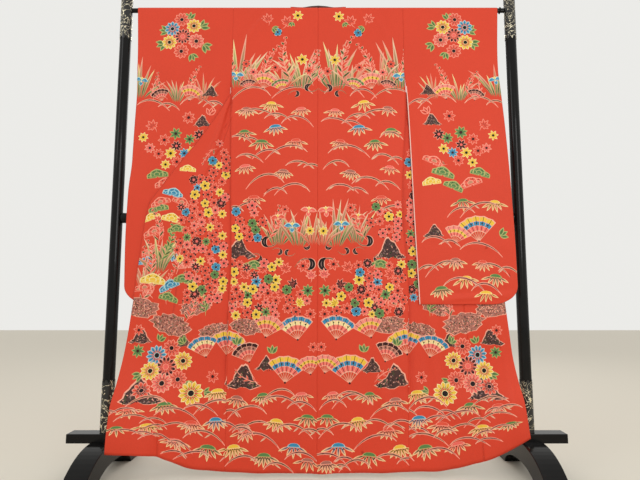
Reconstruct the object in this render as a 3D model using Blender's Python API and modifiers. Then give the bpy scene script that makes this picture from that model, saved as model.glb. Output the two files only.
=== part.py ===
"""A long-sleeved furisode kimono hung, back outwards, on a black display stand.

Units are metres. +Z is up, the garment's back faces -Y, and the origin lies on the floor under the
middle of the stand. Cloth is a wall worked out row by row from the garment's cut widths.
"""

import math

import bpy

# Garment sizes
WALL = 0.0015
SEAM_GAP = 0.0003
BODY_HALF = 0.310
NECK_HALF = 0.096
HEM_LEVEL = 0.013
ARMHOLE_BOTTOM = 1.410
ARMPIT = 1.300
COLLAR_END = 0.900
COLLAR_WIDTH = 0.055
TURN_RADIUS = 0.0023
LAYER_PITCH = 2 * TURN_RADIUS
SLEEVE_PITCH = 0.0038
SLEEVE_BOTTOM = 0.558
CORNER_WIDTH = 0.090
CORNER_HEIGHT = 0.062
SLEEVE_SOFT_EDGE = 0.006
LEAST_STRETCH = 0.004
COLLAR_GAP = 0.00085
TOP_TURN_SHARE = 0.6
CUFF_CLOSE = 0.130
LIFT_POWER = 1.5
LEAST_TURN = 1e-6
FRONT_STEPS = (4, 2, 4, 4)
OKUMI_STEPS = 2
BACK_STEPS = 5
SLEEVE_STEPS = 6
BAND_TURNS = 4
BAND_FLATS = 2

# Stand sizes
ROD_HEIGHT = 1.629
ROD_RADIUS = 0.0083
FOLD_RADIUS = 0.0097
POST_X = 0.703
POST_RADIUS = 0.0195
POST_TOP = 1.700
RAIL_HEIGHT = 0.857
RAIL_RADIUS = 0.018
BEAM_HALF_LENGTH = 0.824
BEAM_HALF_DEPTH = 0.0263
BEAM_BOTTOM = 0.105
BEAM_TOP = 0.135
FOOT_WIDTH = 0.072
FOOT_HALF_LENGTH = 0.205
FOOT_TOP = 0.110
FOOT_DROP = 0.070
FOOT_CURVE = 2.8
FOOT_STEPS = 10
TOE_TOP = 0.043
TOE_EASE = 0.003
SOLE_EASE = 0.006
ARCH_HALF = 0.130
ARCH_HEIGHT = 0.048
ARCH_STEPS = 14
RING_X = 0.667
RING_RADIUS = 0.0107
RING_THICKNESS = 0.0019
FITTING_WALL = 0.0010
FITTING_SIDES = 32
SCALLOPS = 8
SCALLOP_DEPTH = 0.012
LOWER_FITTING_TOP = 0.308
UPPER_FITTING_BOTTOM = 1.512
FITTING_ROWS = (0.0, 0.5, 0.9, 1.0)
ROD_SIDES = 24
RAIL_SIDES = 28
POST_SIDES = 32
CAP_STEPS = 28
RING_STEPS = (20, 8)
BAR_BEVEL = 0.0005
BEAM_BEVEL = 0.0020
FOOT_BEVEL = 0.0025
BEVEL_STEPS = 2
SHARP_ANGLE = math.radians(40)
WELD_REACH = 0.00005
SCREW_WELD = 0.0001
# colour, roughness and metallic share of each finish
SILK = ((0.62, 0.07, 0.035), 0.6, 0.0)
LACQUER = ((0.012, 0.011, 0.011), 0.12, 0.0)
GILT = ((0.45, 0.33, 0.14), 0.35, 0.8)
# Distance from the middle and height of the points of a post's cap, top first
CAP_PROFILE = (
    (0.0, 0.020), (0.008, 0.0185), (0.0155, 0.0135), (0.0200, 0.0060), (0.0215, 0.0040),
    (0.0215, 0.0), (0.0, 0.0),
)

# Heights of the cloth's rows below the rod, and the angles of its rows round the rod
LEVELS = (
    ROD_HEIGHT, 1.605, 1.57, 1.50, ARMHOLE_BOTTOM, 1.355, ARMPIT, 1.23, 1.15, 1.06, 0.98, COLLAR_END,
    0.80, 0.70, 0.60, 0.50, 0.40, 0.30, 0.22, 0.14, HEM_LEVEL,
)
WRAP_ANGLES = (88.5, 60.0, 30.0)
SLEEVE_WRAP = (150.0, 120.0, 90.0, 60.0, 30.0)

# height, back panel's distance behind the stand's middle plane
BACK_DEPTH = (
    (1.629, 0.0097), (1.500, 0.0110), (1.410, 0.0130), (1.300, 0.0255), (1.150, 0.0360),
    (0.980, 0.0400), (0.800, 0.0400), (0.600, 0.0370), (0.300, 0.0330), (0.013, 0.0310),
)
# height, how far behind the back panel the front hangs
FRONT_OFFSET = (
    (1.629, 0.0194), (1.570, 0.0160), (1.500, 0.0100), (1.410, LAYER_PITCH), (0.013, LAYER_PITCH),
)
# height, room left beside the side edge where the opening under the sleeve ends
OPENING_CLEAR = (
    (1.629, 0.0), (1.410, 0.0003), (1.355, 0.0016), (1.300, 0.0009), (1.230, 0.0005), (1.150, 0.0),
)
# height, distance of the body's side edge from the middle
SIDE_EDGE = {
    "left": (
        (1.629, 0.310), (1.410, 0.310), (1.300, 0.304), (0.980, 0.297), (0.700, 0.291),
        (0.500, 0.297), (0.013, 0.300),
    ),
    "right": (
        (1.629, 0.310), (1.410, 0.310), (1.300, 0.309), (0.980, 0.291), (0.860, 0.289),
        (0.740, 0.298), (0.600, 0.306), (0.400, 0.303), (0.013, 0.300),
    ),
}
# height, distance of the front's outer edge from the middle
FRONT_EDGE = {
    "left": (
        (1.629, 0.100), (1.300, 0.312), (1.212, 0.362), (1.125, 0.419), (1.053, 0.474), (0.967, 0.536),
        (0.900, 0.580), (0.808, 0.596), (0.700, 0.608), (0.572, 0.622), (0.400, 0.642), (0.300, 0.653),
        (0.220, 0.660), (0.013, 0.6625),
    ),
    "right": (
        (1.629, 0.100), (1.300, 0.318), (1.210, 0.372), (1.120, 0.432), (1.050, 0.484), (0.967, 0.545),
        (0.900, 0.588), (0.808, 0.605), (0.700, 0.619), (0.573, 0.633), (0.400, 0.653), (0.220, 0.6805),
        (0.013, 0.6928),
    ),
}
# height, cut width of the front panel, cut width of the panel and the overlap panel together
FRONT_WIDTH = ((1.629, 0.236), (1.410, 0.290), (1.300, 0.286), (0.900, 0.262), (0.013, 0.240))
WHOLE_WIDTH = ((1.629, 0.236), (1.410, 0.296), (1.300, 0.318), (0.900, 0.398), (0.600, 0.392), (0.013, 0.390))
# height, share of the tuck behind the side edge that is left
TUCK_SHARE = ((1.629, 1.0), (0.700, 1.0), (0.600, 0.8), (0.500, 0.0), (0.013, 0.0))
# height, angle in degrees of the turn at the side edge
TUCK_ANGLE = ((1.629, 180.0), (0.500, 180.0), (0.300, 60.0), (0.220, 0.0), (0.013, 0.0))
# distance from the middle, hem height
HEM_LINE = {
    "left": (
        (0.0, 0.013), (0.281, 0.018), (0.418, 0.033), (0.487, 0.0615), (0.527, 0.079), (0.594, 0.089),
        (0.6625, 0.0925),
    ),
    "right": (
        (0.0, 0.013), (0.316, 0.019), (0.443, 0.028), (0.520, 0.046), (0.590, 0.0725), (0.660, 0.109),
        (0.6928, 0.127),
    ),
}
# Lower corner of each front, swung forwards: from x, to x, from height, down to height, depth
CORNER_SWING = {"left": (0.400, 0.640, 0.500, 0.100, 0.070), "right": (0.500, 0.650, 0.400, 0.120, 0.018)}
HEM_LIFT_FROM = 0.300
# x, top, half width and depth of each soft fold that rises from the hem
HEM_FOLDS = (
    (-0.560, 0.30, 0.055, 0.006), (-0.400, 0.26, 0.060, 0.010), (-0.190, 0.22, 0.070, 0.006),
    (0.020, 0.20, 0.045, 0.007), (0.215, 0.24, 0.070, 0.006), (0.390, 0.28, 0.060, 0.010),
    (0.560, 0.30, 0.060, 0.007),
)
# height, sleeve's outer edge, sleeve's inner edge
SLEEVE_EDGES = {
    "left": (
        (1.629, 0.659, 0.310), (1.410, 0.650, 0.310), (1.300, 0.649, 0.318), (1.060, 0.650, 0.325),
        (0.940, 0.659, 0.328), (0.800, 0.661, 0.333), (0.558, 0.657, 0.340),
    ),
    "right": (
        (1.629, 0.656, 0.310), (1.410, 0.648, 0.310), (1.300, 0.652, 0.316), (1.060, 0.663, 0.324),
        (0.940, 0.668, 0.328), (0.800, 0.673, 0.333), (0.558, 0.678, 0.344),
    ),
}
# Where each sleeve's back layer hangs behind the body's back layer below the armpit
SLEEVE_BEHIND = {"left": 0.0168, "right": 0.0010}
# heights of the rows in a sleeve's rounded corner, as shares of the corner's height
CORNER_ROWS = (1.0, 0.6, 0.25, 0.0)
# Collar behind the neck: place across, lean in degrees, y of the hanging part, seam height, roll height
NECK_BAND = (
    (0.000, 0.0, 0.0135, 1.6411, 0.0112),
    (0.030, 0.0, 0.0138, 1.6411, 0.0085),
    (0.055, 10.0, 0.0145, 1.6411, 0.0035),
    (0.078, 20.0, 0.0155, 1.6420, 0.0025),
    (0.0915, 27.0, 0.0163, 1.6433, 0.0022),
)
# Collar over the rod: angle round the rod, lean in degrees, lift off the front's edge
WRAP_BAND = ((88.5, 30.0, 0.0021), (60.0, 30.0, 0.0021), (30.0, 30.0, 0.0012))
# height on the front edge, lean of the collar band in degrees
BAND_LEAN = ((1.629, 33.0), (1.605, 44.0), (1.570, 52.0), (1.500, 56.0), (0.900, 52.0))
SIGN = {"left": -1.0, "right": 1.0}


def clear_scene():
    for item in list(bpy.data.objects):
        bpy.data.objects.remove(item, do_unlink=True)


def material(name, colour, roughness, metallic):
    made = bpy.data.materials.new(name)
    made.use_nodes = True
    shader = made.node_tree.nodes["Principled BSDF"]
    shader.inputs["Base Color"].default_value = (*colour, 1.0)
    shader.inputs["Roughness"].default_value = roughness
    shader.inputs["Metallic"].default_value = metallic
    return made


def read(table, place, column=1):
    """A table's value at a place in its first column, on smooth curves between its rows."""
    rows = table if table[0][0] < table[-1][0] else table[::-1]
    if place <= rows[0][0]:
        return rows[0][column]
    if place >= rows[-1][0]:
        return rows[-1][column]
    after = next(i for i, row in enumerate(rows) if row[0] >= place)
    low, high = rows[after - 1], rows[after]
    span = high[0] - low[0]
    rise = (high[column] - low[column]) / span

    def slope(index):
        if index <= 0 or index >= len(rows) - 1:
            return rise
        one, two, three = rows[index - 1], rows[index], rows[index + 1]
        first = (two[column] - one[column]) / (two[0] - one[0])
        second = (three[column] - two[column]) / (three[0] - two[0])
        if first * second <= 0:
            return 0.0
        return 2 * first * second / (first + second)

    share = (place - low[0]) / span
    start, end = slope(after - 1) * span, slope(after) * span
    square, cube = share * share, share ** 3
    return (
        (2 * cube - 3 * square + 1) * low[column]
        + (cube - 2 * square + share) * start
        + (3 * square - 2 * cube) * high[column]
        + (cube - square) * end
    )


def smooth(share):
    share = min(1.0, max(0.0, share))
    return share * share * (3 - 2 * share)


def hem_fold(x, z):
    """How far the soft folds near the hem push the cloth forwards."""
    push = 0.0
    for middle, top, half_width, depth in HEM_FOLDS:
        across = abs(x - middle) / half_width
        if across < 1 and z < top:
            push += depth * smooth(1 - across) * smooth(1 - z / top)
    return push


def lifted(side, across, level):
    """A row's height, raised towards the hem where the hem is drawn up."""
    if level >= HEM_LIFT_FROM:
        return level
    share = (HEM_LIFT_FROM - level) / (HEM_LIFT_FROM - HEM_LEVEL)
    return level + (read(HEM_LINE[side], across) - HEM_LEVEL) * share ** LIFT_POWER


def corner_swing(side, across, z):
    """How far a front's lower corner hangs forwards, clear of the foot."""
    near, far, top, bottom, depth = CORNER_SWING[side]
    return depth * smooth((across - near) / (far - near)) * smooth((top - z) / (top - bottom))


def placed(side, across, depth, level):
    """A point of the cloth from its distance from the middle, its y and its row."""
    x = SIGN[side] * across
    z = lifted(side, across, level)
    return (x, depth - hem_fold(x, z) - corner_swing(side, across, z), z)


def round_rod(side, across, offset, angle):
    """A point of the cloth where it lies over the rod, at an angle above the far side."""
    turn = math.radians(angle)
    reach = FOLD_RADIUS + offset
    return (SIGN[side] * across, reach * math.cos(turn), ROD_HEIGHT + reach * math.sin(turn))


def back_y(level):
    return -read(BACK_DEPTH, level)


def front_y(level):
    return back_y(level) + read(FRONT_OFFSET, level)


def bend(start, heading, turn, length):
    """End and new heading of a stretch of cloth that turns evenly over its length."""
    if abs(turn) < LEAST_TURN:
        return (start[0] + length * math.cos(heading), start[1] + length * math.sin(heading)), heading
    radius = length / turn
    end = heading + turn
    return (
        start[0] + radius * (math.sin(end) - math.sin(heading)),
        start[1] - radius * (math.cos(end) - math.cos(heading)),
    ), end


class FrontRow:
    """One level of a front: out from the side edge, folded in behind the back, and out again."""

    def __init__(self, side, level):
        self.side = side
        self.level = level
        opened = smooth((level - ARMPIT) / (ARMHOLE_BOTTOM - ARMPIT))
        first = math.pi * opened
        tuck = max(first, math.radians(read(TUCK_ANGLE, level)))
        edge = read(SIDE_EDGE[side], level)
        reach = read(FRONT_EDGE[side], level)
        radius = TURN_RADIUS if level < ROD_HEIGHT else TOP_TURN_SHARE * TURN_RADIUS
        arc = math.pi * radius
        clear = SEAM_GAP + read(OPENING_CLEAR, level)
        start = (
            edge + clear - 2 * SEAM_GAP * opened,
            back_y(level) + opened * (front_y(level) - back_y(level)),
        )
        turned, _ = bend(start, first, tuck - first, arc)
        width = read(WHOLE_WIDTH, level) - 2 * arc
        back_again, _ = bend((0.0, 0.0), tuck, -tuck, arc)
        spare = width - (reach - turned[0] - back_again[0])
        inward = max(LEAST_STRETCH, spare / 2 * read(TUCK_SHARE, level))
        outward = reach - turned[0] - back_again[0] - inward * math.cos(tuck)
        self.parts = ((arc, tuck - first), (inward, 0.0), (arc, -tuck), (max(LEAST_STRETCH, outward), 0.0))
        self.start, self.heading = start, first
        self.length = sum(part[0] for part in self.parts)

    def at(self, along):
        """(distance from the middle, y) at a length along the row."""
        point, heading = self.start, self.heading
        for length, turn in self.parts:
            if along <= length:
                share = along / length if length else 0.0
                return bend(point, heading, turn * share, along)[0]
            point, heading = bend(point, heading, turn, length)
            along -= length
        return point[0] + along, point[1]

    def breaks(self, steps):
        """Lengths along the row at which the mesh has columns: more where the cloth turns."""
        found, passed = [], 0.0
        for (length, _), count in zip(self.parts, steps):
            found += [passed + length * i / count for i in range(count)]
            passed += length
        return found + [passed]


def cloth(name, points, finish, faces=None):
    """A sheet of cloth as a wall, from rows of points or from points with their faces."""
    if faces is None:
        count = len(points[0])
        faces = [
            (row * count + i, row * count + i + 1, (row + 1) * count + i + 1, (row + 1) * count + i)
            for row in range(len(points) - 1)
            for i in range(count - 1)
        ]
        points = [point for row in points for point in row]
    mesh = bpy.data.meshes.new(name)
    mesh.from_pydata(points, [], faces)
    mesh.shade_smooth()
    made = bpy.data.objects.new(name, mesh)
    wall = made.modifiers.new("Wall", "SOLIDIFY")
    wall.thickness = WALL
    wall.offset = 0.0
    made.data.materials.append(finish)
    garment.objects.link(made)
    return made


def back_panel(side, finish):
    rows = []
    for angle in WRAP_ANGLES:
        rows.append([
            round_rod(side, SEAM_GAP / 2 + (BODY_HALF - SEAM_GAP) * i / BACK_STEPS, 0.0, 180.0 - angle)
            for i in range(BACK_STEPS + 1)
        ])
    for level in LEVELS:
        edge = read(SIDE_EDGE[side], level)
        rows.append([
            placed(side, SEAM_GAP / 2 + (edge - SEAM_GAP) * i / BACK_STEPS, back_y(level), level)
            for i in range(BACK_STEPS + 1)
        ])
    cloth(f"back_{side}", rows, finish)


def front_points(side, row, angle, lengths):
    """Points of one row of a front at lengths along it, round the rod where an angle is given."""
    points = []
    for along in lengths:
        across, depth = row.at(along)
        if angle is None:
            points.append(placed(side, across, depth, row.level))
        else:
            points.append(round_rod(side, across, depth - front_y(row.level), angle))
    return points


def front_rows(side):
    """Each row of a front with the angle round the rod, top first."""
    top = FrontRow(side, LEVELS[0])
    return [(top, angle) for angle in WRAP_ANGLES] + [(FrontRow(side, level), None) for level in LEVELS]


def front_panel(side, finish):
    rows = []
    for row, angle in front_rows(side):
        width = row.length
        if row.level < ARMHOLE_BOTTOM:
            width -= read(WHOLE_WIDTH, row.level) - read(FRONT_WIDTH, row.level)
        lengths = row.breaks(FRONT_STEPS)
        tail = lengths[-FRONT_STEPS[-1] - 1]
        lengths = lengths[: -FRONT_STEPS[-1]] + [
            tail + (width - tail) * (i + 1) / FRONT_STEPS[-1] for i in range(FRONT_STEPS[-1])
        ]
        rows.append(front_points(side, row, angle, lengths))
    cloth(f"front_{side}", rows, finish)


def okumi(side, finish):
    rows = []
    for row, angle in front_rows(side):
        if angle is not None or row.level >= ARMHOLE_BOTTOM:
            continue
        width = read(WHOLE_WIDTH, row.level) - read(FRONT_WIDTH, row.level) - SEAM_GAP
        lengths = [row.length - width * (1 - i / OKUMI_STEPS) for i in range(OKUMI_STEPS + 1)]
        rows.append(front_points(side, row, None, lengths))
    cloth(f"okumi_{side}", rows, finish)


def band_row(side, seam, lean, behind, roll=TURN_RADIUS):
    """One section of the collar band: a roll over its seam, then flat behind the front."""
    tilt = math.radians(lean)
    out, up = math.sin(tilt), math.cos(tilt)
    radius = (behind - seam[1]) / 2
    points = []
    for i in range(BAND_TURNS + 1):
        turn = math.pi * i / BAND_TURNS
        away = roll * math.sin(turn)
        points.append((
            seam[0] + SIGN[side] * out * away,
            seam[1] + radius * (1 - math.cos(turn)),
            seam[2] + up * away,
        ))
    for i in range(BAND_FLATS):
        length = (COLLAR_WIDTH - math.pi * TURN_RADIUS) * (i + 1) / BAND_FLATS
        z = seam[2] - up * length
        depth = behind
        if seam[2] < ROD_HEIGHT:
            depth = behind + (front_y(z) - front_y(seam[2]))
        points.append((seam[0] - SIGN[side] * out * length, depth, z))
    return points


def collar_rows(side):
    rows = []
    for across, lean, behind, height, roll in NECK_BAND:
        rows.append(band_row(side, (SIGN[side] * across, SEAM_GAP, height), lean, behind, roll))
    top = FrontRow(side, ROD_HEIGHT)
    across, depth = top.at(top.length)
    for angle, lean, lift in WRAP_BAND:
        seam = round_rod(side, across + COLLAR_GAP, depth - front_y(ROD_HEIGHT) + lift, angle)
        rows.append(band_row(side, seam, lean, depth + LAYER_PITCH))
    for level in LEVELS:
        if level < COLLAR_END:
            break
        row = FrontRow(side, level)
        across, depth = row.at(row.length)
        seam = placed(side, across + COLLAR_GAP, depth, level)
        rows.append(band_row(side, seam, read(BAND_LEAN, level), depth + LAYER_PITCH))
    return rows


def collar(finish):
    left, right = collar_rows("left"), collar_rows("right")
    cloth("collar", left[:0:-1] + right, finish)


def sleeve_levels():
    kept = [level for level in LEVELS if level > SLEEVE_BOTTOM + CORNER_HEIGHT]
    return kept + [SLEEVE_BOTTOM + CORNER_HEIGHT * share for share in CORNER_ROWS]


def sleeve_outer(side, level):
    """The sleeve's outer edge, rounded at its lower corner."""
    edge = read(SLEEVE_EDGES[side], level)
    rise = (level - SLEEVE_BOTTOM) / CORNER_HEIGHT
    if rise >= 1:
        return edge
    return edge - CORNER_WIDTH * (1 - math.sqrt(1 - (1 - rise) ** 2))


def sleeve_depths(side, level):
    """y of a sleeve's back and front layers at a level."""
    apart = smooth((ARMHOLE_BOTTOM - level) / CUFF_CLOSE)
    back = back_y(level) + apart * SLEEVE_BEHIND[side]
    front = front_y(level) + apart * (back_y(level) + SLEEVE_BEHIND[side] + SLEEVE_PITCH - front_y(level))
    return back, front


def sleeve(side, finish):
    """A sleeve as one folded sheet: its layers share their points along the closed edges."""
    points, places = [], {}

    def add(key, point):
        if key not in places:
            places[key] = len(points)
            points.append(point)
        return places[key]

    levels = sleeve_levels()
    columns = [i / SLEEVE_STEPS for i in range(SLEEVE_STEPS)] + [1.0]
    width = SLEEVE_EDGES[side][0][1] - SLEEVE_EDGES[side][0][2]
    columns.insert(-1, 1.0 - SLEEVE_SOFT_EDGE / width)
    grid = []
    for layer, order in (("back", levels[::-1]), ("front", levels)):
        for level in order:
            inner = read(SLEEVE_EDGES[side], level, 2) + SEAM_GAP
            outer = sleeve_outer(side, level)
            depths = sleeve_depths(side, level)
            middle = sum(depths) / 2
            line = []
            for i, share in enumerate(columns):
                shut = level == levels[-1] or (i == len(columns) - 1 and level < ARMHOLE_BOTTOM)
                y = middle if shut else depths[0 if layer == "back" else 1]
                key = ("edge" if shut else layer, level, i)
                x = SIGN[side] * (inner + (outer - inner) * share)
                line.append(add(key, (x, y, level)))
            grid.append(line)
        if layer == "back":
            for angle in SLEEVE_WRAP:
                line = []
                for i, share in enumerate(columns):
                    inner = BODY_HALF + SEAM_GAP
                    across = inner + (read(SLEEVE_EDGES[side], ROD_HEIGHT) - inner) * share
                    line.append(add(("rod", angle, i), round_rod(side, across, 0.0, angle)))
                grid.append(line)
    faces = [
        (below[i], below[i + 1], above[i + 1], above[i])
        for below, above in zip(grid, grid[1:])
        for i in range(len(columns) - 1)
    ]
    cloth(f"sleeve_{side}", points, finish, faces)


def add_bevel(made, width):
    bevel = made.modifiers.new("Bevel", "BEVEL")
    bevel.width = width
    bevel.segments = BEVEL_STEPS
    bevel.limit_method = "ANGLE"
    bevel.angle_limit = SHARP_ANGLE


def bar(name, radius, length, place, rotation, finish, sides):
    """A round bar with softened ends, along Z before it is turned."""
    bpy.ops.mesh.primitive_cylinder_add(
        vertices=sides, radius=radius, depth=length, location=place, rotation=rotation
    )
    made = bpy.context.object
    made.name = name
    made.data.shade_smooth()
    made.data.set_sharp_from_angle(angle=SHARP_ANGLE)
    made.data.materials.append(finish)
    add_bevel(made, BAR_BEVEL)
    take_over(made)


def rod_ring(finish):
    """A thin stop ring on the rod, near its right-hand end."""
    bpy.ops.mesh.primitive_torus_add(
        major_segments=RING_STEPS[0], minor_segments=RING_STEPS[1],
        major_radius=RING_RADIUS, minor_radius=RING_THICKNESS,
        location=(RING_X, 0.0, ROD_HEIGHT), rotation=(0.0, math.pi / 2, 0.0),
    )
    made = bpy.context.object
    made.name = "rod_ring"
    made.data.shade_smooth()
    made.data.materials.append(finish)
    take_over(made)


def take_over(made):
    """Moves an object from the scene's collection to the garment's."""
    for holder in list(made.users_collection):
        holder.objects.unlink(made)
    garment.objects.link(made)


def foot(side, finish):
    """An arched foot, as an outline in the YZ plane drawn out sideways."""
    lap = BEAM_HALF_DEPTH + SEAM_GAP
    toe = FOOT_HALF_LENGTH
    right_half = [(lap, BEAM_BOTTOM - SEAM_GAP), (lap, FOOT_TOP)]
    for i in range(1, FOOT_STEPS + 1):
        y = lap + (toe - TOE_EASE - lap) * i / FOOT_STEPS
        right_half.append((y, FOOT_TOP - FOOT_DROP * (y / toe) ** FOOT_CURVE))
    right_half += [(toe, TOE_TOP), (toe, SOLE_EASE), (toe - SOLE_EASE, 0.0)]
    arch = []
    for i in range(ARCH_STEPS + 1):
        turn = math.pi * i / ARCH_STEPS
        arch.append((ARCH_HALF * math.cos(turn), ARCH_HEIGHT * math.sin(turn)))
    outline = right_half + arch + [(-y, z) for y, z in reversed(right_half)]
    shape = bpy.data.curves.new(f"foot_{side}", "CURVE")
    shape.dimensions = "2D"
    shape.fill_mode = "BOTH"
    shape.extrude = FOOT_WIDTH / 2
    line = shape.splines.new("POLY")
    line.points.add(len(outline) - 1)
    for point, (y, z) in zip(line.points, outline):
        point.co = (y, z, 0.0, 1.0)
    line.use_cyclic_u = True
    made = bpy.data.objects.new(f"foot_{side}", shape)
    made.rotation_euler = (math.pi / 2, 0.0, math.pi / 2)
    made.location = (SIGN[side] * POST_X, 0.0, 0.0)
    weld = made.modifiers.new("Weld", "WELD")
    weld.merge_threshold = WELD_REACH
    add_bevel(made, FOOT_BEVEL)
    shape.materials.append(finish)
    garment.objects.link(made)


def beam(finish):
    bpy.ops.mesh.primitive_cube_add(size=1.0, location=(0.0, 0.0, (BEAM_BOTTOM + BEAM_TOP) / 2))
    made = bpy.context.object
    made.name = "beam"
    made.scale = (2 * BEAM_HALF_LENGTH, 2 * BEAM_HALF_DEPTH, BEAM_TOP - BEAM_BOTTOM)
    bpy.ops.object.transform_apply(location=False, rotation=False, scale=True)
    made.data.materials.append(finish)
    add_bevel(made, BEAM_BEVEL)
    take_over(made)


def fitting(name, side, plain_edge, shaped_edge, finish):
    """A thin metal sleeve round a post, with one edge cut in points."""
    reach = POST_RADIUS + SEAM_GAP + FITTING_WALL / 2
    inward = -1.0 if shaped_edge > plain_edge else 1.0
    rows = []
    for share in FITTING_ROWS:
        line = []
        for i in range(FITTING_SIDES):
            turn = 2 * math.pi * i / FITTING_SIDES
            point = abs(math.cos(turn * SCALLOPS / 2))
            edge = shaped_edge + inward * SCALLOP_DEPTH * (1 - point)
            z = plain_edge + (edge - plain_edge) * share
            line.append((SIGN[side] * POST_X + reach * math.cos(turn), reach * math.sin(turn), z))
        rows.append(line)
    points = [point for line in rows for point in line]
    faces = [
        (
            row * FITTING_SIDES + i,
            row * FITTING_SIDES + (i + 1) % FITTING_SIDES,
            (row + 1) * FITTING_SIDES + (i + 1) % FITTING_SIDES,
            (row + 1) * FITTING_SIDES + i,
        )
        for row in range(len(rows) - 1)
        for i in range(FITTING_SIDES)
    ]
    mesh = bpy.data.meshes.new(name)
    mesh.from_pydata(points, [], faces)
    mesh.shade_smooth()
    made = bpy.data.objects.new(name, mesh)
    wall = made.modifiers.new("Wall", "SOLIDIFY")
    wall.thickness = FITTING_WALL
    wall.offset = 0.0
    made.data.materials.append(finish)
    garment.objects.link(made)


def cap(side, finish):
    """A plain turned cap that closes the top of a post."""
    mesh = bpy.data.meshes.new(f"cap_{side}")
    points = [(reach, 0.0, height) for reach, height in CAP_PROFILE]
    mesh.from_pydata(points, [(i, i + 1) for i in range(len(points) - 1)], [])
    made = bpy.data.objects.new(f"cap_{side}", mesh)
    made.location = (SIGN[side] * POST_X, 0.0, POST_TOP + SEAM_GAP)
    turn = made.modifiers.new("Turn", "SCREW")
    turn.steps = turn.render_steps = CAP_STEPS
    turn.use_merge_vertices = True
    turn.merge_threshold = SCREW_WELD
    mesh.materials.append(finish)
    garment.objects.link(made)


clear_scene()
garment = bpy.data.collections.new("Furisode on a display stand")
bpy.context.scene.collection.children.link(garment)

silk = material("Printed silk", *SILK)
lacquer = material("Black lacquer", *LACQUER)
gilt = material("Gilt fitting", *GILT)

for side in ("left", "right"):
    back_panel(side, silk)
    front_panel(side, silk)
    okumi(side, silk)
    sleeve(side, silk)
collar(silk)

across = (0.0, math.pi / 2, 0.0)
inner_face = POST_X - POST_RADIUS - SEAM_GAP
rod_end = inner_face - FITTING_WALL - SEAM_GAP
bar("top_rod", ROD_RADIUS, 2 * rod_end, (0.0, 0.0, ROD_HEIGHT), across, lacquer, ROD_SIDES)
bar("mid_rail", RAIL_RADIUS, 2 * inner_face, (0.0, 0.0, RAIL_HEIGHT), across, lacquer, RAIL_SIDES)
rod_ring(lacquer)
beam(lacquer)
for side in ("left", "right"):
    post_base = BEAM_TOP + SEAM_GAP
    middle = (POST_TOP + post_base) / 2
    bar(
        f"post_{side}", POST_RADIUS, POST_TOP - post_base, (SIGN[side] * POST_X, 0.0, middle),
        (0.0, 0.0, 0.0), lacquer, POST_SIDES,
    )
    foot(side, lacquer)
    cap(side, gilt)
    fitting(f"lower_fitting_{side}", side, BEAM_TOP + SEAM_GAP, LOWER_FITTING_TOP, gilt)
    fitting(f"upper_fitting_{side}", side, POST_TOP - SEAM_GAP, UPPER_FITTING_BOTTOM, gilt)
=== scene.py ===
"""Looks of a long-sleeved printed silk kimono, hung back outwards on a black lacquered stand."""

import cmath
import math
import random

import bpy
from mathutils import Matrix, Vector
from mathutils.geometry import delaunay_2d_cdt


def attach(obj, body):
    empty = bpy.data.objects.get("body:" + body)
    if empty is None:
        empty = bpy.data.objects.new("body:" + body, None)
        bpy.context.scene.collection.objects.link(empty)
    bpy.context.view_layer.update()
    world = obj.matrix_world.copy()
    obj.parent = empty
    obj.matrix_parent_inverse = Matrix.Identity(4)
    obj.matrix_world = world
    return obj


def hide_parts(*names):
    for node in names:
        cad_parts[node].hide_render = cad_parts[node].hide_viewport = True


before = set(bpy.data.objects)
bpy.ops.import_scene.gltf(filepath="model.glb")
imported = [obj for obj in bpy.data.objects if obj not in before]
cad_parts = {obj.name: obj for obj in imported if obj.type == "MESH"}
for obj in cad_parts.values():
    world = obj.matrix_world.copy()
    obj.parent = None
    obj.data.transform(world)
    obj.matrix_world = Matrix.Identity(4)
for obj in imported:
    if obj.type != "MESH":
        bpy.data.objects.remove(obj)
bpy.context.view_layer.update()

FULL_TURN = 2 * math.pi
SIGN = {"left": -1.0, "right": 1.0}

# Garment sizes, in metres
BODY_HALF = 0.310
HEM_LEVEL = 0.013
ARMHOLE_BOTTOM = 1.410
ARMPIT = 1.300
TURN_RADIUS = 0.0023
LAYER_PITCH = 2 * TURN_RADIUS
TOP_TURN_SHARE = 0.6
LEAST_STRETCH = 0.004
COLLAR_END = 0.900
COLLAR_WIDTH = 0.055
COLLAR_GAP = 0.00085
SLEEVE_PITCH = 0.0038
SLEEVE_BOTTOM = 0.558
CORNER_WIDTH = 0.090
CORNER_HEIGHT = 0.062
SLEEVE_SOFT_EDGE = 0.006
CUFF_CLOSE = 0.130
CUFF_RISE = 0.020
ROD_HEIGHT = 1.629
FOLD_RADIUS = 0.0097
LAST_TURN = math.radians(88.5)
OVER_ROD = math.pi * FOLD_RADIUS
SLEEVE_TOTAL = 2 * ROD_HEIGHT + OVER_ROD

# Thickness of the silk, how far the lining's rim is set back, and how the cloth turns in at seams
CLOTH = 0.0007
LEAST_HALF = 0.55 * CLOTH
LINING_SET_BACK = 0.0013
SEAM_GAP = 0.0003
SEAM_EASE = SEAM_GAP / 6
SEAM_DIP = 0.0010
SEAM_REACH = 0.004
SIDE_DIP = 0.6
OKUMI_DIP = 0.7
SLEEVE_DIP = 0.6
SLEEVE_SEAM_END = 1.31
SEAM_LAP = 0.0004
SEAM_LAP_RUN = 0.060

# Creases fade out past their ends, and widen from one end to the other
CREASE_FADE = 0.25
CREASE_START = 0.7
CREASE_SPREAD = 0.6
SLEEVE_CREASE_FADE = 0.05
LIFT_POWER = 1.5

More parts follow.
